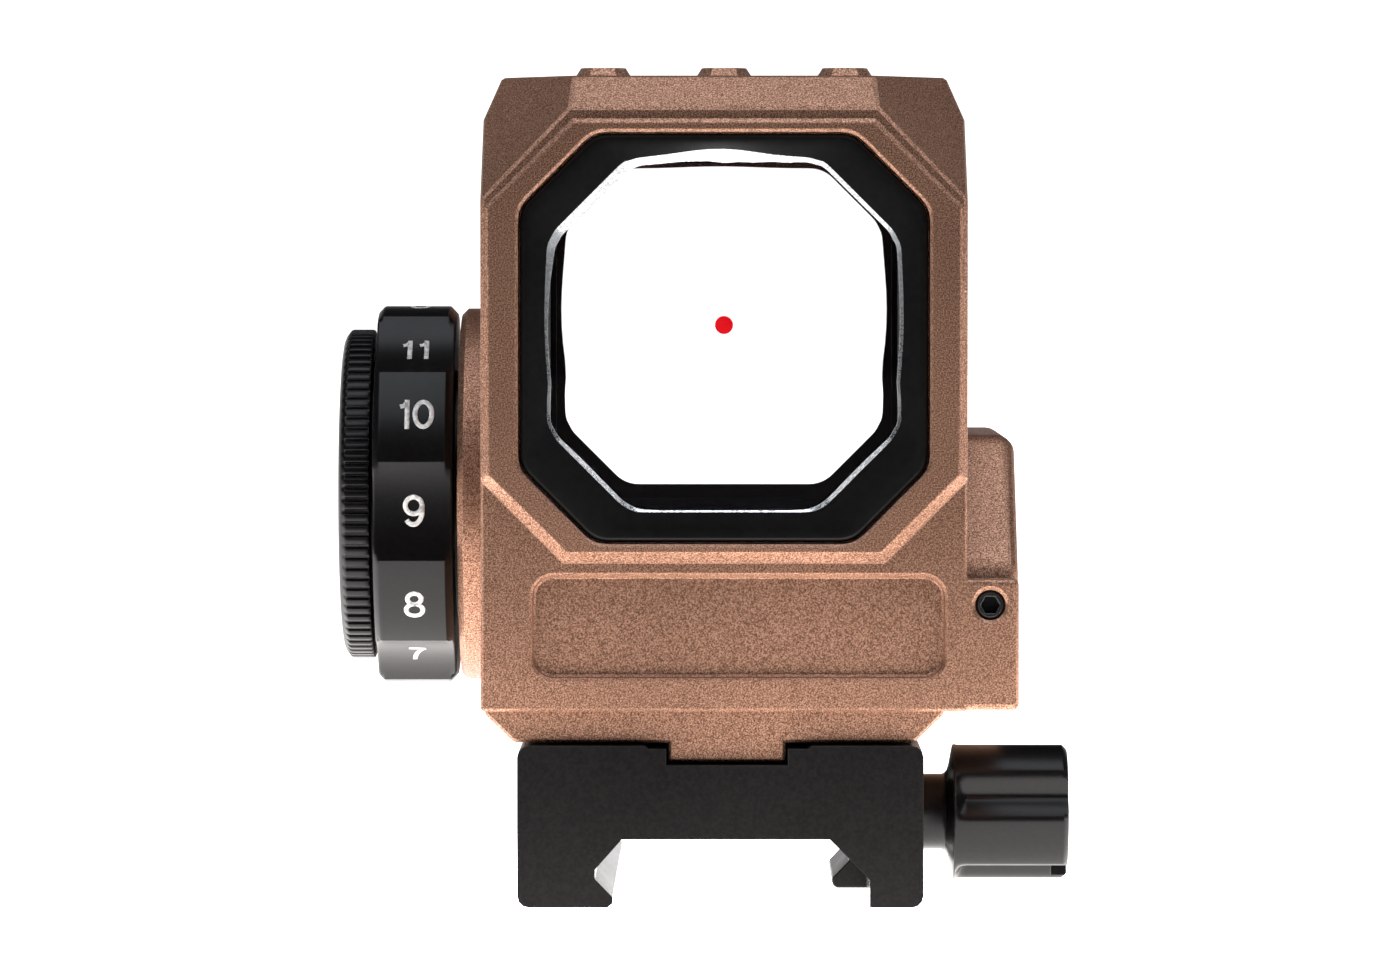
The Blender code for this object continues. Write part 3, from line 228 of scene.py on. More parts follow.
def metal_finish(name, tone, rough):
    """Turned or rolled metal: fine scratches and slight stains."""
    made, tree, shader, place = blank(name)
    scratches = noise(tree, place, 2600, 4.0, 0.65)
    stains = noise(tree, place, 240, 3.0, 0.55)
    dull = tuple(channel * 0.62 for channel in tone)
    color = ramp(tree, stains, [(0.35, dull), (0.6, tone)])
    tree.links.new(color, shader.inputs["Base Color"])
    spread = ramp(tree, scratches, [(0.35, rough * 0.7), (0.65, min(1.0, rough * 1.5))])
    tree.links.new(spread, shader.inputs["Roughness"])
    shader.inputs["Metallic"].default_value = 1.0
    normal = bump(tree, scratches, 0.00001, 0.5, rounded_normal(tree, 0.00008))
    tree.links.new(normal, shader.inputs["Normal"])
    return made


def board_finish():
    """Green circuit board with copper tracks under the mask."""
    made, tree, shader, place = blank("circuit_board")
    cells = node(tree, "ShaderNodeTexVoronoi", {"Vector": place, "Scale": 900.0},
                 feature="DISTANCE_TO_EDGE", distance="MANHATTAN").outputs["Distance"]
    tracks = ramp(tree, cells, [(0.06, 1.0), (0.1, 0.0)])
    color = mix(tree, tracks, (0.012, 0.085, 0.03), (0.05, 0.22, 0.07))
    tree.links.new(color, shader.inputs["Base Color"])
    tree.links.new(ramp(tree, tracks, [(0.0, 0.5), (1.0, 0.3)]), shader.inputs["Roughness"])
    tree.links.new(bump(tree, tracks, 0.00003, 0.6), shader.inputs["Normal"])
    return made


def glass_finish(name, tint, reflection, sheen):
    """Thin coated pane: what is behind it shows through, and its coating mirrors a little light."""
    made, tree, shader, place = blank(name)
    tree.nodes.remove(shader)
    through = node(tree, "ShaderNodeBsdfTransparent", {"Color": (*tint, 1)})
    smudges = noise(tree, place, 120, 3.0, 0.6)
    rough = ramp(tree, smudges, [(0.4, 0.015), (0.75, 0.06)])
    mirror = node(tree, "ShaderNodeBsdfGlossy", {"Color": (*sheen, 1), "Roughness": rough})
    edge_on = node(tree, "ShaderNodeFresnel", {"IOR": 1.45}).outputs["Fac"]
    share = math_node(tree, "MULTIPLY", edge_on, reflection, clamp=True)
    both = node(tree, "ShaderNodeMixShader", {"Fac": share})
    tree.links.new(through.outputs[0], both.inputs[1])
    tree.links.new(mirror.outputs[0], both.inputs[2])
    tree.links.new(both.outputs[0], tree.nodes["Material Output"].inputs["Surface"])
    return made


def bevel_glass_finish():
    """Polished edge of the rear pane, speckled with fine chips."""
    made, tree, shader, place = blank("polished_glass_edge")
    chips = noise(tree, place, 3800, 3.0, 0.7)
    color = ramp(tree, chips, [(0.42, (0.55, 0.56, 0.57)), (0.5, (0.95, 0.96, 0.97))])
    tree.links.new(color, shader.inputs["Base Color"])
    tree.links.new(ramp(tree, chips, [(0.4, 0.32), (0.52, 0.1)]), shader.inputs["Roughness"])
    shader.inputs["Metallic"].default_value = 0.9
    tree.links.new(bump(tree, chips, 0.00002, 0.4), shader.inputs["Normal"])
    return made


def paint_finish():
    """Off-white number paint, slightly uneven."""
    made, tree, shader, place = blank("number_paint")
    uneven = noise(tree, place, 2500, 3.0, 0.6)
    color = ramp(tree, uneven, [(0.35, (0.45, 0.45, 0.44)), (0.6, (0.78, 0.78, 0.76))])
    tree.links.new(color, shader.inputs["Base Color"])
    tree.links.new(ramp(tree, uneven, [(0.3, 0.45), (0.7, 0.65)]), shader.inputs["Roughness"])
    return made


def dot_finish():
    """Red glow of the aiming dot on the coated lens."""
    made, tree, shader, place = blank("red_dot_glow")
    flicker = noise(tree, place, 900, 2.0, 0.5)
    color = ramp(tree, flicker, [(0.3, (0.78, 0.006, 0.012)), (0.7, (0.9, 0.012, 0.02))])
    tree.links.new(color, shader.inputs["Emission Color"])
    tree.links.new(color, shader.inputs["Base Color"])
    shader.inputs["Emission Strength"].default_value = 1.0
    shader.inputs["Specular IOR Level"].default_value = 0.0
    return made


def make_finishes():
    """Finish of each material slot, and of the parts that have one of their own."""
    return {
        "bronze": bronze_finish(),
        "black_frame": black_finish("satin_black_frame", (0.004, 0.0037, 0.0037), 0.34, 1500, 0.000008,
                                    specular=0.26, rounding=0.0),
        "black_dial": black_finish("black_anodised_dial", (0.003, 0.0026, 0.0027), 0.32, 2600, 0.000006,
                                   wear=0.3, specular=0.2),
        "black_mount": black_finish("black_anodised_mount", (0.0064, 0.0056, 0.0056), 0.36, 3200,
                                    0.000004, wear=0.1, specular=0.09),
        "groove": black_finish("smooth_black_groove", (0.02, 0.0185, 0.0185), 0.16, 3200, 0.000002,
                               rounding=0.0),
        "rubber": black_finish("black_rubber", (0.014, 0.014, 0.014), 0.75, 1800, 0.00003),
        "plastic": black_finish("moulded_plastic", (0.02, 0.02, 0.021), 0.5, 1200, 0.00004),
        "black_steel": black_finish("black_oxide_steel", (0.014, 0.014, 0.015), 0.32, 3000, 0.00001,
                                    wear=0.5, metallic=0.6, specular=0.6),
        "clear_glass": glass_finish("coated_clear_glass", (0.985, 0.99, 0.99), 0.8, (1.0, 0.92, 1.0)),
        "coated_glass": glass_finish("red_reflecting_glass", (0.975, 0.99, 0.995), 1.6, (1.0, 0.42, 0.3)),
        "steel": metal_finish("bright_steel", (0.62, 0.62, 0.61), 0.24),
        "brass": metal_finish("bright_brass", (0.78, 0.56, 0.24), 0.26),
        "board": board_finish(),
        "wire": black_finish("red_wire", (0.4, 0.02, 0.02), 0.5, 1500, 0.00002),
        "tunnel": tunnel_finish(),
        "glass_edge": bevel_glass_finish(),
        "paint": paint_finish(),
        "dot": dot_finish(),
    }


# ---------------------------------------------------------------- mesh tools

def ring_mesh(rings, closed=False):
    """Mesh through rings with the same number of points: capped, or the last ring joined to the first."""
    bm = bmesh.new()
    loops = [[bm.verts.new(Vector(point) * MM) for point in ring] for ring in rings]
    count = len(loops[0])
    pairs = list(zip(loops, loops[1:]))
    if closed:
        pairs.append((loops[-1], loops[0]))
    for near, far in pairs:
        for i in range(count):
            j = (i + 1) % count
            bm.faces.new((near[i], near[j], far[j], far[i]))
    if not closed:
        bm.faces.new(loops[0])
        bm.faces.new(loops[-1])
    bmesh.ops.recalc_face_normals(bm, faces=bm.faces)
    return bm


def piece(name, bm, finish, smooth=35):
    """Object from a bmesh, shaded smooth up to an angle in degrees."""
    mesh = bpy.data.meshes.new(name)
    bm.to_mesh(mesh)
    bm.free()
    mesh.materials.append(finish)
    mesh.shade_smooth()
    mesh.set_sharp_from_angle(angle=math.radians(smooth))
    made = bpy.data.objects.new(name, mesh)
    bpy.context.scene.collection.objects.link(made)
    return made


def cut_out(target, tool):
    """Cut a mesh out of an object for good, and remove the tool."""
    cut = target.modifiers.new("cut", "BOOLEAN")
    cut.operation = "DIFFERENCE"
    cut.solver = "EXACT"
    cut.object = tool
    bpy.context.view_layer.update()
    graph = bpy.context.evaluated_depsgraph_get()
    mesh = bpy.data.meshes.new_from_object(target.evaluated_get(graph))
    target.modifiers.remove(cut)
    target.data = mesh
    bpy.data.objects.remove(tool)


def stand_in(made, body, slot, *nodes):
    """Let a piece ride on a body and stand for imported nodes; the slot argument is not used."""
    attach(made, body)
    if nodes:
        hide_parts(*nodes)
    return made


def block(x, y, z):
    """Box mesh from its limits along each axis."""
    ring = [(x[0], y[0]), (x[1], y[0]), (x[1], y[1]), (x[0], y[1])]
    return ring_mesh([[(px, py, height) for px, py in ring] for height in z])


def cut_slot(made, axis, x_range, half_length, half_width, turn, finish, smooth):
    """Cut a coin slot across an end face; axis is the y and z of the turning axis, turn in degrees."""
    slot = block(x_range, (axis[0] - half_length, axis[0] + half_length),
                 (axis[1] - half_width, axis[1] + half_width))
    centre = Matrix.Translation(Vector((0, *axis)) * MM)
    turned = centre @ Matrix.Rotation(math.radians(turn), 4, "X") @ centre.inverted()
    bmesh.ops.transform(slot, matrix=turned, verts=slot.verts)
    cut_out(made, piece("tool", slot, finish))
    made.data.set_sharp_from_angle(angle=math.radians(smooth))


def round_corners(points, radius, steps):
    """Outline with each corner of a convex polygon turned into an arc."""
    rounded = []
    count = len(points)
    for i, corner in enumerate(points):
        here = Vector(corner)
        back = (Vector(points[i - 1]) - here).normalized()
        ahead = (Vector(points[(i + 1) % count]) - here).normalized()
        half = back.angle(ahead) / 2
        centre = here + (back + ahead).normalized() * (radius / math.sin(half))
        start = here + back * (radius / math.tan(half)) - centre
        turn = math.copysign(math.pi - 2 * half, ahead.x * back.y - ahead.y * back.x)
        for k in range(steps + 1):
            cos, sin = math.cos(turn * k / steps), math.sin(turn * k / steps)
            rounded.append((centre.x + start.x * cos - start.y * sin,
                            centre.y + start.x * sin + start.y * cos))
    return rounded


# ---------------------------------------------------------------- window frames, glass and dot

FRAME = limits("rear_frame")
FRAME_HALF = FRAME[1].x
FRAME_CUT = 6.15         # size of the outline's corner cuts
FRAME_ROLL = 0.42        # radius of the rolled outer edge
BAND = (2.3, 2.45, 1.85)          # width of the frame at its sides, bottom and top
APERTURE_CUT = 6.6
STATIONS = 10            # points along each straight side
CUT_INSET = 2 - math.sqrt(2)      # change of a corner cut for each millimetre of inset


def octagon(half, bottom, top, cut, radius=2.5):
    """Octagonal outline in X and Z with rounded corners and divided sides."""
    corners = [(half, bottom + cut), (half, top - cut), (half - cut, top), (cut - half, top),
               (-half, top - cut), (-half, bottom + cut), (cut - half, bottom), (half - cut, bottom)]
    points = round_corners(corners, radius, 6)
    divided = []
    for i, start in enumerate(points):
        end = points[(i + 1) % len(points)]
        count = STATIONS if math.dist(start, end) > 2.0 else 1
        for k in range(count):
            divided.append((start[0] + (end[0] - start[0]) * k / count,
                            start[1] + (end[1] - start[1]) * k / count))
    return divided


def frame_outline(inset):
    """The frame's outer edge, moved in by an inset."""
    low, high = FRAME
    return octagon(FRAME_HALF - inset, low.z + inset, high.z - inset, FRAME_CUT - inset * CUT_INSET)


def hump(distance, reach):
    """1 at no distance, falling smoothly to 0 at the reach."""
    return math.cos(min(abs(distance) / reach, 1) * math.pi / 2) ** 2


def aperture_outline(inset=0.0, side_bow=1.0, top_bow=1.0, lift=0.0, cut=APERTURE_CUT):
    """The frame's inner edge: bowed at the middle of each side, as a hand-applied seal leaves it."""
    low, high = FRAME
    half, bottom = FRAME_HALF - BAND[0] - inset, low.z + BAND[1] + inset
    top = high.z - BAND[2] - inset
    middle = (bottom + top) / 2
    bowed = []
    for x, z in octagon(half, bottom + lift, top, cut - inset * CUT_INSET, 3.0):
        if abs(x) > half * 0.985:          # on a side
            swell = 0.3 * hump(z - middle - 1.5, 9)
            swell -= 0.12 * math.exp(-((z - middle + 5.5) / 3.0) ** 2)
            x += math.copysign(swell * side_bow, x)
        elif z > middle and abs(z - top) < 0.3:          # along the top
            swell = 0.62 * hump(x + 0.4, 6.5)
            z += top_bow * (swell - 0.1 * hump(abs(x) - 7.5, 2.5))
        bowed.append((x, z))
    return bowed


def at_y(points, y):
    """Outline in X and Z placed at a y."""
    return [(x, y, z) for x, z in points]


FRONT_OPENING = (0.05, 1.6, 0.25, 0.2, 5.4)     # inset, bows of sides and top, lift, corner cut


def make_frame(name, outward, finish, opening=(0.0,)):
    """Window frame with a rolled outer edge and a face that falls in towards the glass."""
    low, high = limits(name)
    seen, hidden = (low.y, high.y) if outward < 0 else (high.y, low.y)
    step = -outward
    rings = [at_y(frame_outline(0.0), hidden)]
    for k in range(7):
        angle = math.pi / 2 * k / 6
        rings.append(at_y(frame_outline(FRAME_ROLL * (1 - math.cos(angle))),
                          seen + step * FRAME_ROLL * (1 - math.sin(angle))))
    outer, inner = frame_outline(FRAME_ROLL), aperture_outline(*opening)
    for across, depth in ((0.35, 0.1), (0.7, 0.26), (1.0, 0.42)):
        blend = [tuple(a + (b - a) * across for a, b in zip(p, q)) for p, q in zip(outer, inner)]
        rings.append(at_y(blend, seen + step * depth))
    rings.append(at_y(inner, hidden))
    made = piece(name + "_piece", ring_mesh(rings, closed=True), finish, 50)
    return stand_in(made, "sight", "black_frame", name)


# Bevel's width at angles round the window, in degrees from +X; the last repeats the first.
BEVEL_WIDTHS = ((0, 0.28), (30, 0.3), (52, 0.32), (63, 0.34), (74, 0.55), (82, 0.85), (90, 1.08),
                (98, 0.85), (106, 0.68), (116, 0.6), (122, 0.75), (142, 0.75), (150, 0.6), (168, 0.3),
                (180, 0.22), (205, 0.24), (222, 0.34), (238, 0.3), (250, 0.12), (290, 0.12), (302, 0.3),
                (318, 0.34), (335, 0.22), (360, 0.28))
BEVEL_SLOPE = 0.52       # depth of the bevel over its width
BEVEL_RANGE = (0.6, 1.35)         # depth of the bevel's edge and foot behind the frame's face
BEVEL_TUCK = 0.04        # how far the bevel reaches under the frame
PANE_CUT = 6.1
PANE_EDGE = 0.2          # chamfer round the pane


def bevel_width(x, z):
    """Width of the pane's bevel, ground by hand: widest at the top, almost nothing at the bottom."""
    low, high = FRAME
    middle = (low.z + high.z) / 2
    angle = math.degrees(math.atan2(z - middle, x)) % 360
    for (start, first), (end, last) in zip(BEVEL_WIDTHS, BEVEL_WIDTHS[1:]):
        if angle <= end:
            share = (angle - start) / (end - start)
            share = share * share * (3 - 2 * share)
            return first + (last - first) * share
    return BEVEL_WIDTHS[-1][1]


def make_rear_glass(finishes):
    """Clear pane, and its polished bevel that shows inside the frame's edge."""
    low, high = limits("rear_window")
    edge, foot = (FRAME[0].y + depth for depth in BEVEL_RANGE)
    outer = aperture_outline(-BEVEL_TUCK)
    deep = aperture_outline(1.0)
    ring = []
    for (x, z), (inner_x, inner_z) in zip(outer, deep):
        reach = bevel_width(x, z) + BEVEL_TUCK
        ring.append((x + (inner_x - x) * reach, edge + reach * BEVEL_SLOPE, z + (inner_z - z) * reach))
    rings = [at_y(outer, edge), ring, [(x, foot, z) for x, _, z in ring], at_y(outer, foot)]
    bevel = piece("rear_window_bevel", ring_mesh(rings, closed=True), finishes["glass_edge"], 60)
    stand_in(bevel, "sight", "clear_glass")
    pane = octagon(high.x, low.z, high.z, PANE_CUT)
    inset = octagon(high.x - PANE_EDGE, low.z + PANE_EDGE, high.z - PANE_EDGE, PANE_CUT - 0.12)
    rings = [at_y(inset, low.y), at_y(pane, low.y + PANE_EDGE), at_y(pane, high.y - PANE_EDGE),
             at_y(inset, high.y)]
    made = piece("rear_window_piece", ring_mesh(rings), finishes["clear_glass"], 30)
    stand_in(made, "sight", "clear_glass", "rear_window")


def make_dot(finish):
    """Aiming dot, as the user sees it on the lens."""
    low, high = limits("front_lens")
    centre = (0.0, (low.z + high.z) / 2 + 0.55)
    y = low.y - 0.25         # just in front of the lens
    rings = []
    for depth, radius in ((0.06, 0.8), (0.0, 0.82), (-0.03, 0.6), (-0.04, 0.3)):
        rings.append([(centre[0] + radius * math.cos(2 * math.pi * i / 40), y + depth,
                       centre[1] + radius * math.sin(2 * math.pi * i / 40)) for i in range(40)])
    stand_in(piece("red_dot", ring_mesh(rings), finish, 60), "emitter", None)


# ---------------------------------------------------------------- dial, numbers and battery cap

DIAL = limits("brightness_dial")
CAP = limits("battery_cap")
DIAL_AXIS = ((CAP[0].y + CAP[1].y) / 2, (CAP[0].z + CAP[1].z) / 2)
DIAL_R = 16.0            # radius of the rim between its scoops
SCOOP_DEPTH = 1.2        # every other sector is scooped out for the fingers
DIAL_X = (DIAL[0].x, HOUSING[0].x - 0.4)          # ends of the rim
DIAL_REST = math.radians(3.8)     # how far the facing sector is turned at rest
SECTORS = 12
SECTOR = 2 * math.pi / SECTORS
FACING_NUMBER = 9        # number on the sector that faces the user at rest
CELL_BORE = 10.3         # radius round the coin cell in the dial and in the cap


def sector_middle(index):
    """Angle of a sector's middle round the dial's axis; sector 0 faces the user."""
    return DIAL_REST + math.pi + index * SECTOR


def scooped(radius, half_width, depth, turn):
    """Radius of a round rim at an angle from the middle of a scoop cut into it by a cylinder."""
    middle = radius - depth
    half_chord = radius * math.sin(half_width)
    sag = radius * math.cos(half_width) - middle
    cutter = (half_chord ** 2 + sag ** 2) / (2 * sag)
    reach = middle + cutter
    return reach * math.cos(turn) - math.sqrt(cutter ** 2 - (reach * math.sin(turn)) ** 2)


def dial_radius(angle, chamfer=0.0, rounding=0.0):
    """Radius of the dial's rim: round with chamfered ends, and scooped with softly rounded ends."""
    index = math.floor((angle - sector_middle(0)) / SECTOR + 0.5)
    radius = DIAL_R - chamfer
    if index % 2 == 0:
        turn = angle - sector_middle(index)
        radius = min(radius, scooped(DIAL_R, SECTOR / 2, SCOOP_DEPTH, turn) - rounding)
    return radius


def dial_ring(x, chamfer, rounding):
    """Ring round the dial with sixteen points in each sector."""
    points = []
    for k in range(SECTORS * 16):
        angle = sector_middle(0) + SECTOR * (k / 16 - 0.5)
        radius = dial_radius(angle + 1e-6, chamfer, rounding)
        points.append((x, DIAL_AXIS[0] + radius * math.cos(angle), DIAL_AXIS[1] + radius * math.sin(angle)))
    return points


def make_dial(finish):
    """Scooped rim with chamfered ends, and the bores for the cell, the cap's skirt and its seal."""
    x0, x1 = DIAL_X
    profile = [(x0, 0.5, 0.16), (x0 + 0.05, 0.44, 0.06), (x0 + 0.16, 0.33, 0.0), (x0 + 0.42, 0.06, 0.0),
               (x0 + 0.55, 0.0, 0.0), (x0 + 0.8, 0.0, 0.0), (x1 - 0.9, 0.0, 0.0), (x1 - 0.64, 0.0, 0.0),
               (x1 - 0.54, 0.06, 0.0), (x1 - 0.16, 0.46, 0.0), (x1 - 0.05, 0.58, 0.06), (x1, 0.64, 0.16)]
    rings = [dial_ring(*station) for station in profile]
    angles = [math.atan2(p[2] - DIAL_AXIS[1], p[1] - DIAL_AXIS[0]) for p in rings[0]]

    def turned(x, radius):
        return [(x, DIAL_AXIS[0] + radius * math.cos(a), DIAL_AXIS[1] + radius * math.sin(a))
                for a in angles]

    hub = DIAL[1].x
    cup, step, seat = hub - 3.4, hub - 5.7, hub - 6.85
    inside = [(x1, 10.5), (hub, 10.5), (hub, 2.0), (cup, 2.0), (cup, CELL_BORE), (step, CELL_BORE),
              (step, 12.06), (seat, 12.06), (seat, 12.65), (x0, 12.65)]
    rings += [turned(x, radius) for x, radius in inside]
    made = piece("brightness_dial_piece", ring_mesh(rings, closed=True), finish, 25)
    stand_in(made, "dial", "black_dial", "brightness_dial")


STROKE = 0.4             # width of the painted lines
DIGIT_HALF = (0.7, 1.14)  # middle line of a round digit, from its centre


def arc(x, y, across, high, start, end, steps=20):
    """Part of an ellipse from one angle to another, in degrees."""
    angles = [math.radians(start + (end - start) * k / steps) for k in range(steps + 1)]
    return [(x + across * math.cos(a), y + high * math.sin(a)) for a in angles]


def digit_lines(digit):
    """Middle lines of a plain sans-serif digit, centred on its box."""
    w, h = DIGIT_HALF
    tip = h + STROKE / 2
    lines = {
        0: [arc(0, 0, w, h, 0, 360, 32)],
        1: [[(0.14, -tip), (0.14, tip)], [(-0.44, 0.7), (-0.1, 0.78), (0.1, 1.08)]],
        2: [arc(0, h - 0.64, w - 0.04, 0.64, 165, -35) + [(-w, -h + 0.1), (-w, -h), (w, -h)]],
        3: [arc(0, h - 0.56, 0.62, 0.56, 160, -90), arc(0, -h + 0.6, w, 0.6, 90, -160)],
        4: [[(0.3, -tip), (0.3, tip)], [(0.3, h), (-w, -0.5)], [(-w - 0.1, -0.5), (w + 0.1, -0.5)]],
        5: [[(w - 0.1, h), (-w + 0.22, h), (-w + 0.06, 0.05)], arc(0, -h + 0.72, w, 0.72, 142, -155)],
        6: [arc(0, -h + 0.7, w, 0.7, 0, 360, 28), arc(0.04, 0, w + 0.04, h, 42, 200)],
        7: [[(-w, h), (w, h)], arc(w + 0.35, -h - 0.2, 1.3, 2 * h + 0.2, 105, 176)],
        8: [arc(0, h - 0.53, 0.58, 0.53, 0, 360, 28), arc(0, -h + 0.61, w, 0.61, 0, 360, 28)],
        9: [arc(0, h - 0.7, w, 0.7, 0, 360, 28), arc(-0.04, 0, w + 0.04, h, -138, 20)],
    }
    return lines[digit]


def stroke_faces(bm, line, shift):
    """Band of faces along a middle line; a line that ends where it starts becomes a loop."""
    closed = math.dist(line[0], line[-1]) < 1e-6
    points = [Vector((x + shift, y)) for x, y in (line[:-1] if closed else line)]
    count = len(points)
    sides = []
    for i, here in enumerate(points):
        back = points[i - 1] if closed or i else here
        ahead = points[(i + 1) % count] if closed or i + 1 < count else here
        along = (ahead - back).normalized()
        across = Vector((-along.y, along.x)) * STROKE / 2
        sides.append((bm.verts.new((*(here + across), 0)), bm.verts.new((*(here - across), 0))))
    pairs = list(zip(sides, sides[1:]))
    if closed:
        pairs.append((sides[-1], sides[0]))
    for near, far in pairs:
        bm.faces.new((near[0], near[1], far[1], far[0]))


def make_numbers(finish):
    """Numbers 0 to 11 as thin paint that follows the dial's sectors."""
    middle_x = sum(DIAL_X) / 2 + 0.1
    for index in range(SECTORS):
        number = (FACING_NUMBER - index) % SECTORS
        digits = [int(digit) for digit in str(number)]
        bm = bmesh.new()
        for place, digit in enumerate(digits):
            shift = 1.4 * (place - (len(digits) - 1) / 2) + (0.0 if digit else 0.1)
            for line in digit_lines(digit):
                stroke_faces(bm, line, shift)
        cuts = [Vector((0, DIGIT_HALF[1] * k / 6, 0)) for k in range(-7, 8)]
        for cut in cuts:
            everything = bm.verts[:] + bm.edges[:] + bm.faces[:]
            bmesh.ops.bisect_plane(bm, geom=everything, dist=1e-6, plane_co=cut, plane_no=(0, 1, 0))
        middle = dial_radius(sector_middle(index))
        for vert in bm.verts:
            angle = sector_middle(index) - vert.co.y / middle
            radius = dial_radius(angle) + 0.015
            vert.co = Vector((middle_x + vert.co.x, DIAL_AXIS[0] + radius * math.cos(angle),
                              DIAL_AXIS[1] + radius * math.sin(angle))) * MM
        outward = Vector((0, math.cos(sector_middle(index)), math.sin(sector_middle(index))))
        bm.normal_update()
        turned_in = [face for face in bm.faces if face.normal.dot(outward) < 0]
        bmesh.ops.reverse_faces(bm, faces=turned_in)
        made = piece(f"dial_number_{number}", bm, finish, 60)
        thick = made.modifiers.new("paint", "SOLIDIFY")
        thick.thickness = 0.05 * MM
        thick.offset = -1
        stand_in(made, "dial", None)


TEETH = 88
TOOTH_DEPTH = 0.3
TOOTH = ((0.0, 1.0), (0.2, 1.0), (0.34, 0.12), (0.42, 0.0), (0.78, 0.0), (0.86, 0.12))   # place, depth
CAP_RIM = 2.7            # length of the knurled rim


def make_cap(finish):
    """Battery cap: coin slot in its face, straight knurl round its rim, skirt round the cell."""
    x0, x1, skirt = CAP[0].x, CAP[0].x + CAP_RIM, CAP[1].x
    groove, floor = skirt - 1.05, skirt - 1.8          # seal's groove and floor of the cell's cup
    rim = CAP[1].y - DIAL_AXIS[0]
    marks = []
    for tooth in range(TEETH):
        for share, cut in TOOTH:
            marks.append((2 * math.pi * (tooth + share) / TEETH, cut))

    def ring(x, radius, knurl=0.0):
        points = []
        for angle, cut in marks:
            r = radius - TOOTH_DEPTH * cut * knurl
            points.append((x, DIAL_AXIS[0] + r * math.cos(angle), DIAL_AXIS[1] + r * math.sin(angle)))
        return points

    rings = [ring(x0 + 0.3, 0.5), ring(x0 + 0.3, 8.6), ring(x0 + 0.22, 8.85), ring(x0 + 0.04, 9.0),
             ring(x0, 9.3), ring(x0, rim - 1.5), ring(x0 + 0.08, rim - 0.95), ring(x0 + 0.24, rim - 0.55),
             ring(x0 + 0.42, rim - 0.3), ring(x0 + 0.6, rim - 0.08, 0.55), ring(x0 + 0.78, rim, 1.0),
             ring(x1 - 0.25, rim, 1.0), ring(x1 - 0.1, rim - 0.08, 0.7), ring(x1, rim - 0.45),
             ring(x1, 11.35), ring(groove, 11.35), ring(groove, 12.0), ring(skirt - 0.2, 12.0),
             ring(skirt, 11.8), ring(skirt, CELL_BORE), ring(floor, CELL_BORE), ring(floor, 0.5)]
    made = piece("battery_cap_piece", ring_mesh(rings), finish, 30)
    cut_slot(made, DIAL_AXIS, (x0 - 1, x0 + 0.95), 6.2, 0.8, 35, finish, 30)
    stand_in(made, "cap", "black_dial", "battery_cap")


# ---------------------------------------------------------------- thumb nut

NUT = limits("thumb_nut")
BOLT = limits("cross_bolt")
NUT_AXIS = ((BOLT[0].y + BOLT[1].y) / 2, (BOLT[0].z + BOLT[1].z) / 2)
NUT_R = 5.8              # radius of the grip between its scoops
NUT_SCOOPS = 4
NUT_SCOOP_HALF = math.radians(25)
NUT_SCOOP_DEPTH = 1.35
NUT_REST = math.radians(160)     # where the middle of the first scoop stands at rest


def make_nut(finish):
    """Grip with four scoops that run out short of the collar, and a coin slot in its end."""
    steps = 240
    x0, x1 = NUT[0].x, NUT[1].x
    collar, grip = x0 + 1.8, x0 + 2.9          # where the neck ends, and where the full radius starts
    pitch = 2 * math.pi / NUT_SCOOPS

    def ring(x, radius, share):
        points = []
        for i in range(steps):
            angle = 2 * math.pi * i / steps
            turn = (angle - NUT_REST + pitch / 2) % pitch - pitch / 2
            r = radius
            if share and abs(turn) < NUT_SCOOP_HALF:
                deep = NUT_SCOOP_DEPTH * (1 + math.cos(math.pi * turn / NUT_SCOOP_HALF)) / 2
                r = min(radius, NUT_R - deep * share)
            points.append((x, NUT_AXIS[0] + r * math.cos(angle), NUT_AXIS[1] + r * math.sin(angle)))
        return points

    neck, bore = 3.25, 2.5
    profile = [(x0, neck - 0.1, 0), (x0 + 0.1, neck, 0), (collar, neck, 0), (collar + 0.25, neck + 0.1, 0),
               (collar + 0.45, neck + 0.35, 0), (collar + 0.58, neck + 0.75, 0),
               (grip - 0.2, NUT_R - 0.15, 0), (grip - 0.14, NUT_R - 0.03, 0), (grip - 0.08, NUT_R, 0),
               (grip, NUT_R, 0), (grip + 0.2, NUT_R, 0.3), (grip + 0.4, NUT_R, 0.6),
               (grip + 0.65, NUT_R, 0.85), (grip + 1.0, NUT_R, 1.0), (x1 - 0.5, NUT_R, 1.0),
               (x1 - 0.4, NUT_R - 0.04, 1.0), (x1 - 0.1, NUT_R - 0.34, 1.0), (x1, NUT_R - 0.5, 1.0),
               (x1, 3.9, 0), (x1 - 0.25, 3.65, 0), (x1 - 0.25, bore, 0)]
    rings = [ring(*station) for station in profile]
    rings += [ring(BOLT[1].x + 0.3, bore, 0), ring(x0, bore, 0)]
    made = piece("thumb_nut_piece", ring_mesh(rings, closed=True), finish, 28)
    cut_slot(made, NUT_AXIS, (x1 - 1.35, x1 + 1), 8, 0.65, 80, finish, 28)
    stand_in(made, "nut", "black_dial", "thumb_nut")


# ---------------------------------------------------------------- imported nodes

def blacken_tunnel(housing, finish):
    """Give the faces inside the window tunnel their own lining."""
    housing.data.materials.append(finish)
    low, high = FRAME
    for face in housing.data.polygons:
        place = face.center / MM
        across, up = abs(place.x), abs(place.z - (low.z + high.z) / 2)
        inside = max(across, up) < high.x - 0.1 and across + up < 2 * high.x - FRAME_CUT - 0.1
        if inside and HOUSING[0].y + 0.5 < place.y < HOUSING[1].y - 0.5:
            face.material_index = 1


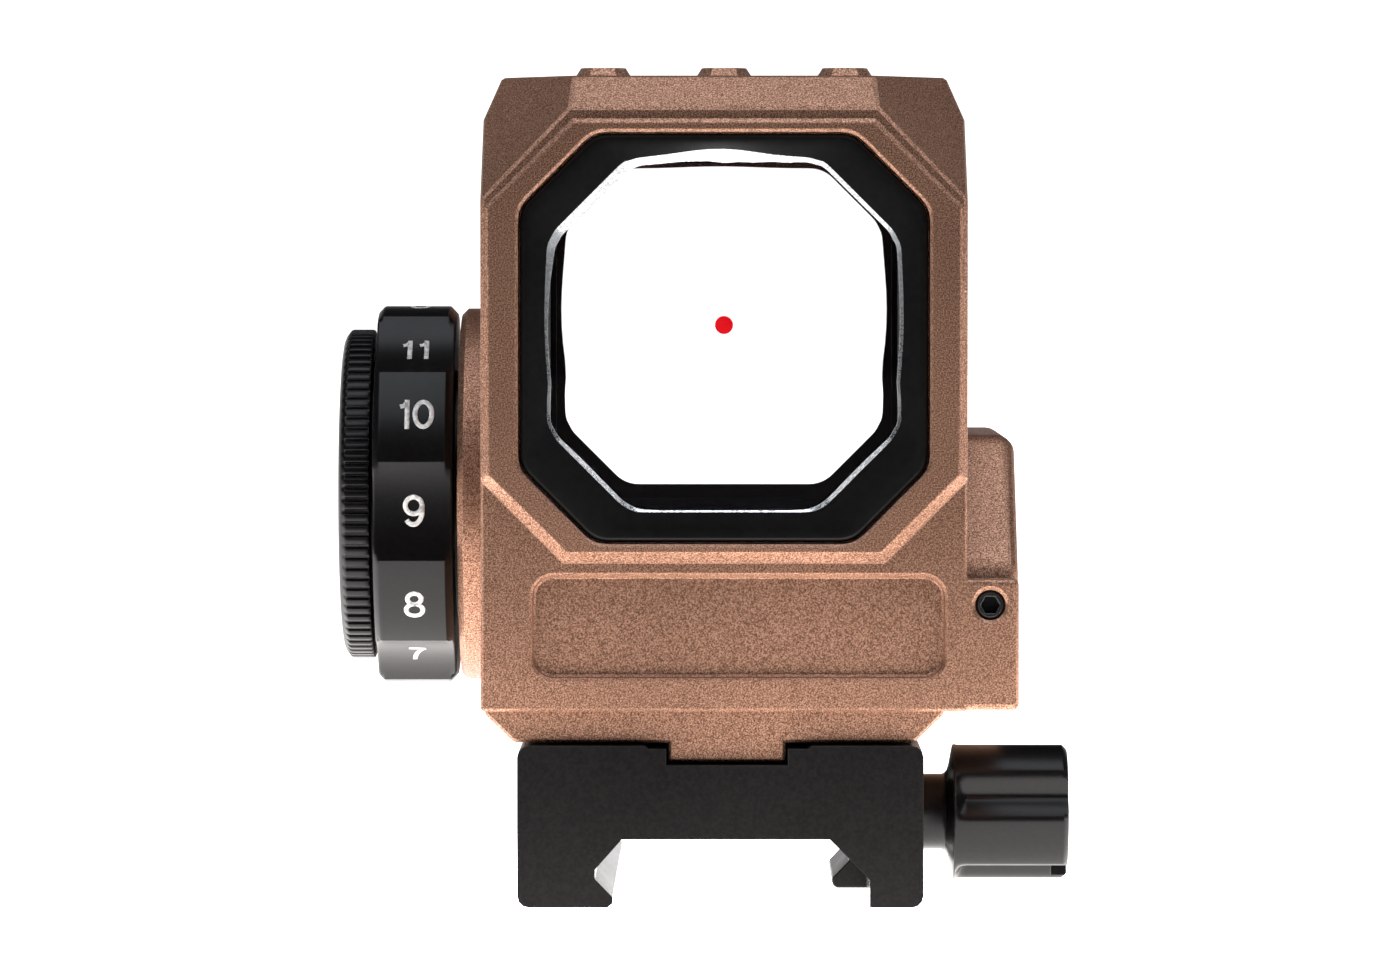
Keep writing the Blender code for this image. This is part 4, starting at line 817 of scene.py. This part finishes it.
def polish_groove(mount, finish):
    """Give the faces of the rail groove their own smoother finish."""
    mount.data.materials.append(finish)
    low, high = limits("mount_base")
    for face in mount.data.polygons:
        place = face.center / MM
        lengthwise = abs(face.normal.y) < 0.2
        inside = low.x + 1 < place.x < high.x - 1 and low.z + 0.1 < place.z < RAIL_TOP_Z + 0.1
        if lengthwise and inside:
            face.material_index = 1


def shade_by_angle(mesh, limit):
    """Shade smooth where faces that share an edge's place meet at less than a limit."""
    def key(edge):
        ends = (tuple(round(c, 6) for c in mesh.vertices[v].co) for v in edge)
        return tuple(sorted(ends))

    normals = {}
    for face in mesh.polygons:
        for edge in face.edge_keys:
            normals.setdefault(key(edge), []).append(face.normal.copy())
    mesh.shade_smooth()
    for edge in mesh.edges:
        around = normals.get(key(edge.vertices), [])
        edge.use_edge_sharp = len(around) != 2 or around[0].angle(around[1], 0.0) > limit


NODE_SMOOTH = math.radians(14)
WELD_DISTANCE = 0.000001          # metres


def finish_nodes(finishes):
    """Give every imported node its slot's finish, and smooth its round faces."""
    slots = {part["node"]: part["material_slot"] for part in frame["record"]["subparts"]}
    for name, made in frame["nodes"].items():
        made.data.materials.clear()
        made.data.materials.append(finishes[slots[name]])
        shade_by_angle(made.data, NODE_SMOOTH)
        made.modifiers.new("weld", "WELD").merge_threshold = WELD_DISTANCE
    blacken_tunnel(frame["nodes"]["housing"], finishes["tunnel"])
    polish_groove(frame["nodes"]["mount_base"], finishes["groove"])


# ---------------------------------------------------------------- studio, in metres

FLOOR_DROP = 0.02 * MM   # air between the mount and the table
TARGET = (0, 0, 0.04)    # what the lamps point at
GLINT_SIZE = (0.12, 0.12)
GLINT_POWER = 0.06
CAMERA_PLACE = (0.0, -0.643, 0.0472)
CAMERA_LENS = 195.43     # millimetres, on a sensor 36 mm wide
CAMERA_DOWN = 1.696      # degrees
CAMERA_TURN = 0.181      # degrees


def make_floor():
    """Pale lit table: brightest under the object, fading towards the user."""
    bm = bmesh.new()
    bmesh.ops.create_grid(bm, x_segments=8, y_segments=8, size=3.0)
    bmesh.ops.translate(bm, vec=(0, 0, FLOOR_Z * MM - FLOOR_DROP), verts=bm.verts)
    made, tree, shader, place = blank("pale_table")
    parts = node(tree, "ShaderNodeSeparateXYZ", {"Vector": place}).outputs
    along = math_node(tree, "ADD", math_node(tree, "MULTIPLY", parts["Y"], 5.0), 0.6)
    glow = ramp(tree, along, [(0.1, 0.01), (0.17, 0.24), (0.26, 0.28), (0.36, 1.0), (0.75, 1.0),
                              (0.95, 0.4)])
    shader.inputs["Base Color"].default_value = (0.3, 0.3, 0.3, 1)
    shader.inputs["Roughness"].default_value = 0.7
    shader.inputs["Emission Color"].default_value = (1.0, 0.965, 0.94, 1)
    tree.links.new(math_node(tree, "MULTIPLY", glow, 4.6), shader.inputs["Emission Strength"])
    floor = piece("floor", bm, made)


def soft_light(name, place, size, power, color=(1, 1, 1)):
    """Rectangular lamp that points at the object."""
    data = bpy.data.lights.new(name, "AREA")
    data.shape = "RECTANGLE"
    data.size, data.size_y = size
    data.energy = power
    data.color = color
    made = bpy.data.objects.new(name, data)
    made.location = place
    made.rotation_euler = (Vector(TARGET) - Vector(place)).to_track_quat("-Z", "Y").to_euler()
    bpy.context.scene.collection.objects.link(made)


def make_light():
    """Dark studio with a white backdrop ahead, a softbox overhead and two small ones behind the user."""
    world = bpy.data.worlds.new("studio")
    bpy.context.scene.world = world
    world.use_nodes = True
    tree = world.node_tree
    background = tree.nodes["Background"]
    way = node(tree, "ShaderNodeTexCoord").outputs["Generated"]
    parts = node(tree, "ShaderNodeSeparateXYZ", {"Vector": way})
    ahead = ramp(tree, parts.outputs["Y"], [(0.45, 0.0), (0.75, 1.0)])
    level = ramp(tree, math_node(tree, "ABSOLUTE", parts.outputs["Z"]), [(0.1, 1.0), (0.3, 0.0)])
    backdrop = math_node(tree, "MULTIPLY", ahead, level)
    studio = mix(tree, backdrop, (0.02, 0.02, 0.022), (1.0, 1.0, 1.0))
    seen = node(tree, "ShaderNodeLightPath").outputs["Is Camera Ray"]
    tree.links.new(mix(tree, seen, studio, (1.4, 1.4, 1.4)), background.inputs["Color"])
    soft_light("overhead", (0.0, -0.2, 0.78), (1.4, 0.8), 8.6, (1.0, 1.06, 1.14))
    soft_light("glint_left", (-0.46, -0.47, 0.5), GLINT_SIZE, GLINT_POWER)
    soft_light("glint_right", (0.46, -0.47, 0.5), GLINT_SIZE, GLINT_POWER)


def make_camera():
    """Camera at the photograph's angle, a little above the sight and looking slightly down."""
    data = bpy.data.cameras.new("camera")
    data.sensor_width = 36.0
    data.lens = CAMERA_LENS
    data.clip_start = 0.01
    camera = bpy.data.objects.new("camera", data)
    camera.location = CAMERA_PLACE
    camera.rotation_euler = (math.radians(90 - CAMERA_DOWN), 0.0, math.radians(CAMERA_TURN))
    bpy.context.scene.collection.objects.link(camera)
    bpy.context.scene.camera = camera
    bpy.context.scene.view_settings.view_transform = "Standard"


def main():
    finishes = make_finishes()
    make_camera()
    make_light()
    make_floor()
    finish_nodes(finishes)
    make_frame("rear_frame", -1, finishes["black_frame"])
    make_frame("front_frame", 1, finishes["black_frame"], FRONT_OPENING)
    make_rear_glass(finishes)
    make_dot(finishes["dot"])
    make_dial(finishes["black_dial"])
    make_numbers(finishes["paint"])
    make_cap(finishes["black_dial"])
    make_nut(finishes["black_dial"])


main()
